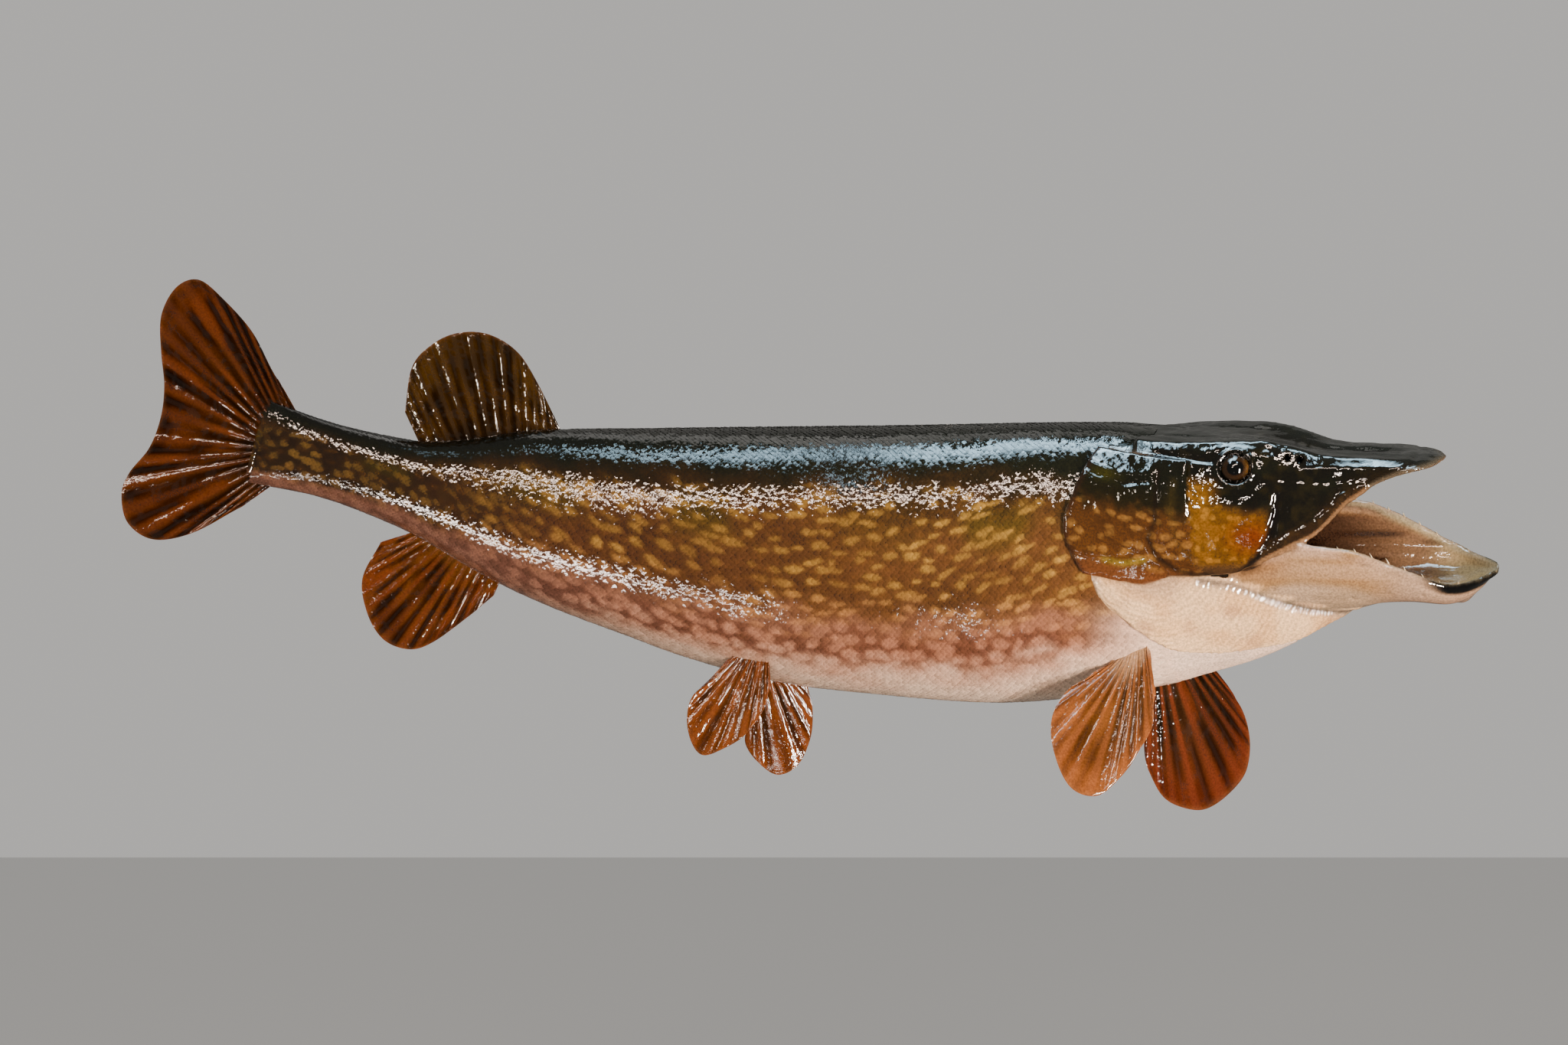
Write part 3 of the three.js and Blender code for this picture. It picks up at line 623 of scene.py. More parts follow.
def arc_of(s, v, z):
    """The arc from the belly's midline to a point of the trunk, in millimetres."""
    middle, reach, power = trunk_section(s, z > widest_at(s))
    up = np.clip(np.abs(z - middle) / reach, 0, 1) ** (power / 2)
    across = np.clip(np.abs(v) / half_width(s), 0, 1) ** (power / 2)
    turn = np.sign(z - middle) * np.arctan2(up, across)
    return table_at(girth_arc, s, (turn + np.pi / 2) / np.pi)


def beans(across, up, pitch, size, seed, tilt=0.0):
    """Bean-shaped spots on a shaken grid: 1 inside a spot, 0 outside it."""
    inside = np.zeros(np.broadcast(across, up).shape)
    row = np.floor(up / pitch[1]).astype(np.int64)
    for dj in (-1, 0, 1):
        j = row + dj
        shift = 0.5 * (j % 2) + 0.4 * chance(j, 7, seed)
        column = np.floor(across / pitch[0] - shift).astype(np.int64)
        for di in (-1, 0, 1):
            i = column + di
            x = (i + shift + 0.5 + 0.5 * (chance(i, j, seed + 1) - 0.5)) * pitch[0]
            y = (j + 0.5 + 0.7 * (chance(i, j, seed + 2) - 0.5)) * pitch[1]
            turn = tilt + 0.5 * (chance(i, j, seed + 3) - 0.5)
            dx, dy = across - x, up - y
            length = size[0] * (0.55 + 0.75 * chance(i, j, seed + 4))
            height = size[1] * (0.75 + 0.5 * chance(i, j, seed + 5))
            gap = np.hypot((dx * np.cos(turn) + dy * np.sin(turn)) / length,
                           (dy * np.cos(turn) - dx * np.sin(turn)) / height)
            here = (1 - ease(0.75, 1.25, gap)) * (chance(i, j, seed + 6) < 0.9)
            inside = np.maximum(inside, here)
    return inside


def layer(colour, cover, over):
    """Paint laid over a colour, as thick as its cover from 0 to 1."""
    return colour + (over - colour) * np.clip(cover, 0, 1)[..., None]


def coats(colour, *over):
    """Coats of paint laid over a colour in turn, each as its cover and its screen colour."""
    for cover, shade in over:
        colour = layer(colour, cover, linear(*shade))
    return colour


rose_top = curve((200, 0.34), (230, 0.31), (300, 0.27), (400, 0.25), (500, 0.24), (600, 0.23),
                 (700, 0.20), (800, 0.14), (890, 0.10))
pale_top = curve((200, 0.25), (230, 0.21), (300, 0.13), (400, 0.10), (500, 0.09), (600, 0.06),
                 (660, 0.01), (720, -0.03), (890, -0.08))


def body_paint(s, v, z):
    """The body's markings: dark green back, olive gold flanks with pale beans, rose, cream belly."""
    arc = arc_of(s, v, z)
    rise = (z - belly_line(s)) / (back_line(s) - belly_line(s))
    side = np.where(v > 0, 0, 4000)
    place = np.stack([s, arc + side, 0 * s], -1)
    level = rise + noise(place, (26, 13, 1), 3) * 0.035 + noise(place, (9, 5, 1), 4) * 0.022
    tone = np.ones(s.shape + (3,))
    tail = ease(650, 800, s)
    tilt = -0.26 * (1 - ease(330, 520, s)) + 0.12 * tail
    along = s + 2.0 * noise(place, (7, 4, 1), 9)
    around = arc + side + 1.2 * noise(place, (6, 3.5, 1), 10)
    # The olive ground and its pale spots: long beans on the trunk, rounder and denser on the tail.
    # The ground darkens towards the tail, from s 640 to 820: painted shade of the light falling off there.
    ground = coats(
        linear(114, 78, 44) * tone,
        (ease(400, 640, s), (102, 68, 41)),
        (ease(640, 820, s), (58, 41, 22)))
    small = beans(along, around, (12, 6.5), (3.8, 1.5), 91, tilt)
    ground = coats(
        ground * (1 + 0.20 * noise(place, (60, 18, 1), 5)[..., None]),
        (ease(0.45, 0.62, rise) * 0.55 * ease(-0.2, 0.5, noise(place, 40, 6)), (92, 84, 24)),
        (ease(0.60, 0.76, level), (74, 52, 26)),
        (ease(0.72, 0.86, level), (42, 42, 26)),
        (ease(0.84, 0.94, level), (34, 37, 28)),
        (small * 0.2 * (1 - ease(0.66, 0.8, level)), (160, 112, 50)))
    spots = mix(beans(along, around, (19, 9.5), (6.8, 2.4), 11, tilt),
                beans(along, around, (11.5, 8.5), (4.0, 2.5), 31, tilt), tail)
    spot_colour = coats(
        linear(204, 160, 80) * tone,
        (1 - ease(0.28, 0.42, rise), (206, 152, 92)),
        (tail * 0.7, (168, 138, 74)))
    fade = (1 - ease(0.66, 0.78, level)) * (0.62 + 0.38 * noise(place, (30, 18, 1), 8)) * (1 - 0.5 * tail)
    ground = layer(ground, spots * fade, spot_colour)
    # The cream belly, the rose band over it with its darker net, and the mauve under the tail.
    blend = ease(-0.10, 0.09, level - rose_top(s))
    rose = ease(-0.02, 0.07, level - pale_top(s)) * (1 - blend)
    nets = beans(along, around, (15, 9.5), (6.6, 4.2), 51, 0.1)
    colour = coats(
        linear(234, 206, 182) * tone,
        (ease(-0.12, 0.10, level - pale_top(s)), (202, 148, 120)),
        (rose * 0.35 * (1 - ease(380, 520, s)), (158, 98, 66)),
        (rose * (1 - nets) * 0.9, (108, 66, 46)))
    return coats(
        layer(colour, blend, ground),
        ((1 - blend) * ease(540, 760, s) * 0.75, (126, 92, 78)),
        ((1 - ease(206, 262, s)) * (1 - ease(0.26, 0.42, rise)) * 0.8, (244, 212, 188)))


EYE_AT = np.array([142.5, 29.5, 57.5])
EYE_RADIUS = 13.0
EYE_AXIS = np.array([-0.16, 0.92, 0.34])
EYE_AXIS = EYE_AXIS / np.linalg.norm(EYE_AXIS)
SOCKET = 10.9
NOSTRILS = ((104.5, 65.2), (96.0, 63.4))
# Lines of the head, as (s, z) on its side, drawn from top to bottom or from rear to front.
FOLD = ((112, 41), (112.5, 30), (117, 14), (127, -3), (139, -14))
PREOPERCLE = ((196, 57), (197, 40), (198.5, 23), (204, 9), (199, -4), (184, -12.5), (160, -16))
CHEEK_EDGE = ((184, 52), (187, 30), (183, 8), (172, -3), (154, -8))
JAW_SEAM = ((170, -21), (148, -25), (118, -40), (96, -49), (66, -57))
RAY_CENTRE = (207.0, 2.0)
RAY_PITCH = 5.6
RAY_SQUASH = 0.94
jaw_pores = ((118, -30), (92, -37), (64, -38), (38, -34), (14, -36))
under_eye = [(142 + 19.5 * np.cos(a), 57 + 17 * np.sin(a)) for a in np.radians(range(-168, -10, 17))]
cheek_pores = ((191, 44), (193, 30), (194, 14), (188, 0), (172, -9))


def from_nostrils(s, z):
    return np.min([np.hypot(s - at_s, z - at_z) for at_s, at_z in NOSTRILS], axis=0)


def from_ray_centre(s, z):
    """How far a point of the gill membrane lies from the middle of its rays' curves."""
    return np.hypot(s - RAY_CENTRE[0], (z - RAY_CENTRE[1]) * RAY_SQUASH)


def relief(points, masks):
    """How far the modelled surface stands out, in millimetres, for each point of the head."""
    s, v, z = points.T
    below = rim_line(s) - twisted(s, v, z, -1)[1]
    v = np.abs(v)
    face = masks[:, OUTSIDE] + masks[:, MAXILLA]
    cover = masks[:, GILL]
    bone = face + cover
    side_on = ease(12, 22, v)
    # Skin crumpled over the bones, calm round the nostrils and finest on the snout and the crown.
    nose = from_nostrils(s, z)
    wet = np.maximum(1 - ease(120, 134, s), ease(38, 46, z))
    coarse = 0.30 * noise(points, 11, 21) + mix(0.07, 0.20, wet) * noise(points, 4.2, 22)
    out = coarse * bone * mix(0.2, 1, ease(4, 14, nose))
    crown = ease(46, 58, z) * ease(70, 96, s) * ease(5, 16, nose)
    out += face * 0.34 * noise(points, (16, 7, 5.5), 30) * crown
    below_eye = ease(22, 32, z) * (1 - ease(52, 60, z)) * ease(60, 84, s)
    out += face * side_on * 0.20 * noise(points, 3.4, 32) * below_eye
    beads = 0.7 + 0.6 * noise(points, 4.5, 33)
    out += bone * side_on * beads * (-1.7 * bell(distance(s, z, FOLD), 2.0)
                                     + 0.5 * bell(distance(s - 4.6, z, FOLD), 2.6))
    out += bone * side_on * beads * (-1.2 * bell(distance(s, z, PREOPERCLE), 2.2)
                                     + 0.4 * bell(distance(s - 4, z + 2, PREOPERCLE), 3.2))
    out += bone * side_on * -0.2 * bell(distance(s + 1.5 * noise(points, 12, 31), z, CHEEK_EDGE), 1.8)
    cheek = ease(118, 132, s) * (1 - ease(172, 190, s)) * ease(-14, 2, z) * (1 - ease(26, 44, z))
    out += face * side_on * 1.6 * cheek
    out += cover * 0.05 * np.cos(np.arctan2(z - 42, s - 196) * 46) * ease(8, 26, np.hypot(z - 42, s - 196))
    # Grooves and ridges drawn along lines: which part, how high, how wide, and where.
    for part, height, width, line in (
            (cover, -0.9, 1.6, ((206, -5), (226, -12), (246, -15), (264, -14))),
            (cover, -1.1, 1.8, ((203, 50), (222, 45), (244, 48), (258, 54))),
            (cover, 0.8, 2.4, ((206, 55), (226, 51), (246, 54))),
            (face * side_on, -1.5, 1.5, ((158, 65), (176, 67), (198, 68))),
            (face * side_on, 1.1, 2.6, ((118, 66), (130, 71), (145, 73.5), (162, 71))),
            (face, 0.8, 2.2, ((94, 57), (60, 56), (26, 55.5))),
            (face * side_on, -0.5, 1.8, ((110, 52), (78, 47), (50, 50))),
            (face * side_on, -0.5, 1.6, ((110, 42), (86, 36), (66, 42))),
            (face * side_on, -0.7, 1.6, ((108, 30), (92, 24), (78, 30))),
            (masks[:, JAW] + masks[:, MEMBRANE], -1.3, 2.0, JAW_SEAM)):
        out += part * height * bell(distance(s, z, line), width)
    crown = face * ease(-3, 3, z - ridge_line(s) + 2)
    middle = ease(20, 45, s) * (1 - ease(118, 150, s))
    out += crown * middle * (-1.3 * bell(v, 3.5) + 0.7 * bell(v - 8, 3.0))
    out += crown * -0.7 * bell(distance(s, v, ((128, 12), (160, 13), (196, 17))), 1.6)
    lip = masks[:, OUTSIDE] * (z - lip_line(s)) * ease(0, 30, s)
    out += face * -0.8 * bell(lip - 4.2, 1.3) * (1 - ease(48, 60, s)) * ease(8, 20, s)
    # Pores under the eye, down the cheek and along the jaw, and the nostrils' shallow pits.
    for part, depth, width, pores in ((bone * side_on, 0.35, 1.5, under_eye),
                                      (bone * side_on, 0.4, 1.5, cheek_pores),
                                      (masks[:, JAW], 1.3, 1.7, jaw_pores)):
        for at_s, at_z in pores:
            out -= part * depth * bell(np.hypot(s - at_s, z - at_z), width)
    out += face * side_on * -0.35 * bell(nose, 2.0)
    # The jaw's lip and chin, and the wrinkles inside the mouth and on the membranes.
    jaw = masks[:, JAW]
    out += jaw * (0.8 * bell(below - 1.0, 2.4) - 0.7 * bell(below - 6.5, 2.0))
    out += jaw * 2.6 * bell(np.hypot((s + 9) / 1.3, (z + 46)), 5.0) * (1 - ease(8, 16, v))
    for part, height, size, seed in ((JAW, 0.7, (46, 40, 5.0), 23), (JAW_INSIDE, 0.9, (52, 5.5, 5.0), 24),
                                     (PALATE, 0.8, (60, 6.0, 9.0), 25), (BREAST, 0.4, (14, 8, 8), 29)):
        out += masks[:, part] * height * noise(points, size, seed)
    rays = np.cos(2 * np.pi * (from_ray_centre(s, z) / RAY_PITCH + 0.25 * noise(points, 16, 26)))
    skirt = masks[:, MEMBRANE] * ease(-20, -30, z)
    out += skirt * (0.07 * rays + 0.12 * noise(points, 4.5, 27) + 0.6 * noise(points, 15, 28))
    return out


def head_paint(points, masks, raised):
    """The head's airbrushed colours and painted shade, from the places of its bones and folds."""
    s, v, z = points.T
    near = v > 0
    below = rim_line(s) - twisted(s, v, z, -1)[1]
    lip = z - lip_line(s)
    v = np.abs(v)
    tone = np.ones(s.shape + (3,))
    mottle = noise(points, 5.0, 41)
    fine = noise(points, 2.6, 42)
    broad = noise(points, 15, 43)
    radius = from_ray_centre(s, z)
    # Cheek, snout and crown: nearly black, with a gold cheek and an orange patch behind the fold.
    below_eye = 40 - 12 * bell(s - 128, 16) - 4 * bell(s - 150, 12)
    cheek = ease(114, 126, s) * (1 - ease(-7, 6, z - below_eye))
    cheek = np.maximum(cheek, ease(148, 166, s) * (1 - ease(44, 58, z)))
    gold = cheek * ease(-13, -5, z) * (1 - ease(198, 205, s))
    stripes = ease(0.0, 0.5, noise(points, (4.2, 30, 16), 44)) * (1 - ease(2, 16, z))
    orange = bell(np.hypot((s - 131) / 1.25, (z - 12) * 1.05), 12) * ease(116, 122, s)
    top = ease(-7, 1, z - ridge_line(s))
    snout_side = ease(118, 96, s) * (1 - top)
    face = coats(
        linear(24, 21, 11) * tone,
        (ease(0.1, 0.6, mottle) * 0.5 * ease(80, 110, s), (56, 46, 16)),
        (ease(0.2, 0.6, broad) * 0.35, (38, 40, 22)),
        (gold, (132, 92, 30)),
        (gold * np.maximum(stripes, ease(0.05, 0.5, mottle)) * 0.55, (82, 58, 18)),
        (gold * beans(s, z, (9, 7.5), (2.4, 2.0), 61) * 0.45, (184, 136, 56)),
        (orange * 1.1, (116, 58, 4)),
        (ease(-4, -12, z) * ease(118, 132, s) * 0.8, (92, 66, 40)),
        (top, (40, 42, 36)),
        (snout_side * ease(-0.1, 0.5, mottle + 0.4 * fine) * 0.35, (50, 44, 22)),
        (snout_side * ease(24, 6, lip) * 0.5, (52, 38, 16)),
        ((1 - ease(1.5, 5.0, lip)) * (1 - ease(50, 64, s)), (112, 98, 80)))
    plate = coats(
        linear(54, 38, 20) * tone,
        (ease(0.0, 0.6, fine) * 0.5, (84, 62, 34)),
        (1 - ease(2.0, 4.2, lip), (150, 116, 84)))
    # Gill cover: brown with pale beans, its top dark, its lower edge reddish, and its free edge darker
    # reddish brown, partly as painted shade of its step onto the body.
    beans_at = (s + 2 * mottle, z + 2 * broad, (11, 9.5), (4.2, 2.3), 71, -0.2)
    cover = coats(
        linear(98, 63, 26) * tone * (1 + 0.18 * broad[:, None]),
        (beans(*beans_at) * 0.6 * (1 - ease(34, 46, z)), (170, 126, 66)),
        (ease(0.15, 0.6, mottle) * 0.35, (70, 44, 16)),
        (ease(18, 36, z + 5 * mottle), (40, 34, 12)),
        (ease(36, 50, z), (30, 29, 15)),
        (bell(np.hypot((s - 236) / 2.4, z - 49), 4.5) * 0.8, (78, 74, 18)),
        (ease(-8, -22, z), (118, 74, 40)),
        (bell(distance(s, z, ((208, -8), (222, -13), (236, -13))), 2.2) * 0.6, (150, 132, 44)),
        (bell(distance(s, z, CHEEK_EDGE), 3.0) * 0.15, (120, 100, 44)),
        (ease(7, 1, gill_rear(z) - s) * 0.6, (66, 40, 26)))
    # Lower jaw: tan and pink outside, black along the tip's lip, streaked dark inside and darkened towards
    # the throat as painted shade.
    lip_black = ease(9.0, 6.0, below) * (1 - ease(2, 22, s + below))
    jaw = coats(
        linear(168, 130, 86) * tone,
        (ease(11, 2, below) * ease(-0.4, 0.5, broad + 0.4), (212, 176, 150)),
        (ease(0.0, 0.7, noise(points, (50, 30, 6), 45)) * 0.5, (214, 180, 150)),
        (ease(22, 36, below) * ease(10, 60, s) * 0.7, (192, 168, 142)),
        (1 - ease(16, 64, s), (192, 162, 136)),
        (ease(92, 128, s) * 0.5 * ease(-30, -10, z), (170, 128, 96)),
        (bell(distance(s, z, JAW_SEAM), 4.5) * 0.75, (98, 98, 84)),
        (ease(-34, -46, z) * (1 - ease(30, 60, s)) * 0.5, (150, 116, 94)),
        (lip_black * np.where(near | (s < -22), 1.0, 0.25), (8, 7, 6)))
    streak = ease(0.05, 0.55, noise(points, (60, 5.5, 6.0), 46)) * ease(-6, 24, s)
    inside = coats(
        linear(150, 118, 90) * tone,
        (1 - ease(-8, 26, s), (196, 170, 128)),
        (ease(9, 1, below), (180, 156, 116)),
        (streak * 0.75, (50, 30, 18)),
        (ease(30, 92, s) * 0.85, (88, 64, 50)),
        (ease(4.5, 1.0, np.abs(below - 1.0)) * (1 - ease(60, 100, s)) * 0.7, (186, 170, 140)))
    # The palate darkens to near black towards the throat: painted shade of the deep mouth.
    roof = coats(
        linear(150, 104, 70) * tone,
        (ease(3, 14, lip) * 0.8, (112, 70, 48)),
        (ease(0.0, 0.6, noise(points, (60, 6, 9), 47)) * 0.5, (70, 44, 30)),
        (ease(50, 110, s) * 0.95, (28, 17, 11)))
    # Gill membrane and breast: cream, the membrane's paint darker where its relief sinks, as painted shade.
    skirt = coats(
        linear(250, 210, 164) * tone,
        (ease(-0.2, 0.6, noise(points, (18, 18, 9), 48)) * 0.6, (234, 184, 132)),
        (ease(44, 26, radius) * 0.7, (176, 146, 122)),
        (ease(-0.05, -0.55, raised) * 0.5, (184, 138, 106)),
        (bell(distance(s, z, JAW_SEAM), 4.0) * 0.55, (120, 124, 120)),
        (ease(236, 250, s) * 0.5, (220, 208, 196)))
    breast = coats(linear(246, 214, 190) * tone, (ease(-0.2, 0.5, broad) * 0.6, (228, 204, 184)))
    parts = {OUTSIDE: mix(face, plate, masks[:, MAXILLA][:, None]), PALATE: roof, JAW: jaw,
             JAW_INSIDE: inside, GILL: cover, MEMBRANE: skirt, BREAST: breast,
             HIDDEN: linear(150, 118, 96) * tone, TRUNK: body_paint(s, np.where(near, v, -v), z)}
    parts[MAXILLA] = parts[OUTSIDE]
    colour = sum(masks[:, kind][:, None] * paint for kind, paint in parts.items())
    # Painted shade: dark lines in the deep folds, darker paint wherever the relief sinks, and black nostrils
    # for their holes; and a dark ring of skin round the eye.
    head = (1 - masks[:, TRUNK]) * (1 - masks[:, BREAST])
    side_on = ease(12, 22, v) * (masks[:, OUTSIDE] + masks[:, MAXILLA] + masks[:, GILL])
    from_eye = np.stack([s, v, z], -1) - EYE_AT
    orbit = np.linalg.norm(np.cross(from_eye, EYE_AXIS), axis=1)
    return coats(
        colour,
        (side_on * bell(distance(s, z, FOLD), 2.6) * 0.9, (22, 14, 8)),
        (side_on * bell(distance(s, z, PREOPERCLE), 2.2) * 0.75, (34, 22, 10)),
        (head * ease(-0.7, -1.8, raised) * 0.6, (14, 10, 8)),
        # Black nostrils: painted shade of their holes.
        (side_on * (1 - ease(2.0, 3.2, from_nostrils(s, z))), (4, 4, 4)),
        (side_on * (from_eye @ EYE_AXIS > 0) * (1 - ease(11, 14.5, orbit)), (18, 15, 8)))


# Paint under varnish looks deeper than when dry: a gain and a power on its linear colour.
UNDER_VARNISH = (0.80, 1.20)


def attribute(piece, name, kind, values):
    """Stores one value for each point of a mesh, for its material to read."""
    store = piece.data.attributes.new(name, kind, "POINT")
    field = {"FLOAT_COLOR": "color", "FLOAT_VECTOR": "vector", "FLOAT": "value"}[kind]
    if kind == "FLOAT_COLOR":
        values = UNDER_VARNISH[0] * np.clip(values, 0, 1) ** UNDER_VARNISH[1]
        values = np.concatenate([values, np.ones((len(values), 1))], axis=1)
    store.data.foreach_set(field, np.ascontiguousarray(values, dtype=np.float32).ravel())


def spread(piece, values, times):
    """Averages values over neighbouring points of a mesh."""
    ends = np.empty(len(piece.data.edges) * 2, np.int64)
    piece.data.edges.foreach_get("vertices", ends)
    a, b = ends[::2], ends[1::2]
    count = np.bincount(ends, minlength=len(values))[:, None] + 1.0
    for _ in range(times):
        total = values.copy()
        for column in range(values.shape[1]):
            total[:, column] += np.bincount(a, values[b, column], len(values))
            total[:, column] += np.bincount(b, values[a, column], len(values))
        values = total / count
    return values


straight = points_of(skin)
kinds = np.full(len(straight), TRUNK)
front = straight[:, 0] < HEAD_CUT
kinds[front] = nearest_mark(straight[front])
masks = spread(skin, np.eye(PARTS)[kinds], 2)
raised = np.where(front, relief(straight, masks), 0)
straight = straight + normals_of(skin) * raised[:, None]

# The socket: skin inside the eye's circle sinks behind the ball, and its rim stands up round it.
for side in (1, -1):
    centre = EYE_AT * [1, side, 1]
    axis = EYE_AXIS * [1, side, 1]
    offset = straight - centre
    along = offset @ axis
    reach = np.linalg.norm(offset - along[:, None] * axis, axis=1)
    ball = np.sqrt(np.clip(EYE_RADIUS ** 2 - reach ** 2, 0, None))
    here = (along > 0) & (reach < 18) & (straight[:, 1] * side > 10)
    sunk = np.minimum(along, ball - 1.6)
    seat = 1 - ease(SOCKET - 0.6, SOCKET + 0.6, reach)
    lift = 1.5 * bell(reach - SOCKET - 1.8, 1.6) * (1 + 0.5 * ease(-2, 8, offset[:, 2]))
    moved = np.where(here, (sunk - along) * seat + lift, 0)
    straight = straight + moved[:, None] * axis

# The nostrils are left without varnish, so that they read as holes.
put_points(skin, straight)
attribute(skin, "paint", "FLOAT_COLOR", head_paint(straight, masks, raised))
s, v, z = straight.T
lines = from_ray_centre(s, z) / 1000
bare = (1 - ease(1.8, 3.2, from_nostrils(s, z))) * (masks[:, OUTSIDE] + masks[:, MAXILLA])
attribute(skin, "dull", "FLOAT", bare)
attribute(skin, "ray_line", "FLOAT_VECTOR", np.stack([lines, masks[:, MEMBRANE], 0 * lines], -1))
put_points(skin, pose(straight))
skin.data.shade_smooth()


def group(name, inputs, outputs):
    """A shader node group with these named sockets."""
    tree = bpy.data.node_groups.new(name, "ShaderNodeTree")
    for socket, kind, default in inputs:
        made = tree.interface.new_socket(socket, in_out="INPUT", socket_type="NodeSocket" + kind)
        made.default_value = default
    for socket, kind in outputs:
        tree.interface.new_socket(socket, in_out="OUTPUT", socket_type="NodeSocket" + kind)
    return tree, tree.nodes.new("NodeGroupInput"), tree.nodes.new("NodeGroupOutput")


def maths(tree, operation, *values):
    """The output of a sum on plain values and other nodes' outputs."""
    return node(tree, "Math", dict(enumerate(values)), operation=operation).outputs[0]


def noise_of(tree, vector, scale, detail=3.0):
    """The height of smooth noise at these coordinates."""
    made = node(tree, "TexNoise", {"Vector": vector, "Scale": scale, "Detail": detail, "Roughness": 0.5})
    return made.outputs[0]


# Airbrushed paint: the piece's own colour, freckled finely lighter and darker.
airbrush, given, result = group(
    "airbrush", (("Colour", "Color", (0.5, 0.5, 0.5, 1)), ("Freckles", "Float", 0.3),
                 ("Freckle Size", "Float", 0.0018)), (("Colour", "Color"),))
place = node(airbrush, "TexCoord")
scale = maths(airbrush, "DIVIDE", 1.0, given.outputs["Freckle Size"])
span = node(airbrush, "MapRange", {
    "Value": noise_of(airbrush, place.outputs["Object"], scale, 2.0), "From Min": 0.3, "From Max": 0.7,
    "To Min": maths(airbrush, "SUBTRACT", 1.0, given.outputs["Freckles"]),
    "To Max": maths(airbrush, "ADD", 1.0, given.outputs["Freckles"])})
freckled = node(airbrush, "VectorMath", {0: given.outputs["Colour"], "Scale": span.outputs[0]},
                operation="SCALE")
airbrush.links.new(freckled.outputs[0], result.inputs["Colour"])

# Brushed-on varnish: slow waves and fine grain, as a height.
varnish, given, result = group(
    "varnish", (("Wave Size", "Float", 0.006), ("Grain Size", "Float", 0.0012),
                ("Grain", "Float", 0.4)), (("Height", "Float"),))
place = node(varnish, "TexCoord")
heights = []
for size in ("Wave Size", "Grain Size"):
    scale = maths(varnish, "DIVIDE", 1.0, given.outputs[size])
    heights.append(noise_of(varnish, place.outputs["Object"], scale, 2.0))
blend = node(varnish, "Mix", {0: given.outputs["Grain"], 2: heights[0], 3: heights[1]})
varnish.links.new(blend.outputs[0], result.inputs["Height"])


def painted(name, freckles, freckle_size, roughness, wave, grain_size, grain, depth, coat_roughness=0.035):
    """Varnished paint over a cast surface: its colour, and where it is dull, come from the mesh."""
    material, tree = new_material(name)
    colour = node(tree, "Attribute", attribute_name="paint")
    dull = node(tree, "Attribute", attribute_name="dull")
    brush = node(tree, "Group", {"Colour": colour.outputs["Color"], "Freckles": freckles,
                                 "Freckle Size": freckle_size}, node_tree=airbrush)
    gloss = node(tree, "Group", {"Wave Size": wave, "Grain Size": grain_size, "Grain": grain},
                 node_tree=varnish)
    bump = node(tree, "Bump", {"Height": gloss.outputs["Height"], "Distance": depth, "Strength": 1.0})
    shader = node(tree, "BsdfPrincipled", {
        "Base Color": brush.outputs["Colour"], "Roughness": roughness, "Specular IOR Level": 0.0,
        "Coat Weight": maths(tree, "SUBTRACT", 1.0, dull.outputs["Fac"]),
        "Coat Roughness": coat_roughness, "Coat IOR": 1.8,
        "Normal": bump.outputs[0], "Coat Normal": bump.outputs[0]})
    node(tree, "OutputMaterial", {0: shader.outputs[0]})
    return material


# The gill membranes' bony rays: curved lines, fine and uneven, where the mesh says how far along.
gill_rays, given, result = group(
    "gill_rays", (("Ray Line", "Vector", (0, 0, 0)), ("Spacing", "Float", 0.0040)),
    (("Height", "Float"), ("Shade", "Float")))
place = node(gill_rays, "TexCoord")
line = node(gill_rays, "SeparateXYZ", {0: given.outputs["Ray Line"]})
turns = maths(gill_rays, "DIVIDE", line.outputs["X"], given.outputs["Spacing"])
turns = maths(gill_rays, "MULTIPLY_ADD", noise_of(gill_rays, place.outputs["Object"], 90, 2.0), 1.5, turns)
height = maths(gill_rays, "SINE", maths(gill_rays, "MULTIPLY", turns, 2 * math.pi))
height = maths(gill_rays, "MULTIPLY", height, line.outputs["Y"])
# The shade scales the paint down between the rays and up on them: painted shade and highlight, in step with
# their bump.
shade = node(gill_rays, "MapRange", {"Value": height, "From Min": -1.0, "From Max": 1.0,
                                     "To Min": 0.92, "To Max": 1.05})
gill_rays.links.new(height, result.inputs["Height"])
gill_rays.links.new(shade.outputs[0], result.inputs["Shade"])

skin_paint = painted("painted_skin", 0.30, 0.0016, 0.42, 0.007, 0.0030, 0.20, 0.0005)
tree = skin_paint.node_tree
shader = tree.nodes["Principled BSDF"]
line = node(tree, "Attribute", attribute_name="ray_line")
rays = node(tree, "Group", {"Ray Line": line.outputs["Vector"]}, node_tree=gill_rays)
bump = node(tree, "Bump", {"Height": rays.outputs["Height"], "Distance": 0.00018,
                           "Normal": tree.nodes["Bump"].outputs[0]})
shaded = node(tree, "VectorMath", {0: shader.inputs["Base Color"].links[0].from_socket,
                                   "Scale": rays.outputs["Shade"]}, operation="SCALE")
tree.links.new(shaded.outputs[0], shader.inputs["Base Color"])
tree.links.new(bump.outputs[0], shader.inputs["Normal"])
tree.links.new(bump.outputs[0], shader.inputs["Coat Normal"])
skin.data.materials.clear()
skin.data.materials.append(skin_paint)
skin.data.polygons.foreach_set("material_index", np.zeros(len(skin.data.polygons), np.int32))
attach(skin, "root")
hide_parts("head", "lower_jaw", "gill_cover_right", "gill_cover_left", "gill_membrane_right",
            "gill_membrane_left", "trunk_front", "trunk_rear", "tail")

# --- Scales -------------------------------------------------------------------------------------
# The pike's own small scales, overlapping towards the tail in rows that follow the flanks, under
# the same paint and varnish as the skin. Each is an arched plate rooted in the skin below.
SCALES_FROM = 198.0
SCALES_TO = 897.0
MIDDLE_ROW = 0.47
SCALE_PITCH = 4.5
ROW_PITCH = 2.35
SCALE_LENGTH = 7.4
SCALE_WIDTH = 5.6
SCALE_RISE = 0.62
SCALE_ARCH = 0.11
SCALE_EDGE = 0.45
GRID = 4
LIE_ROWS = 56


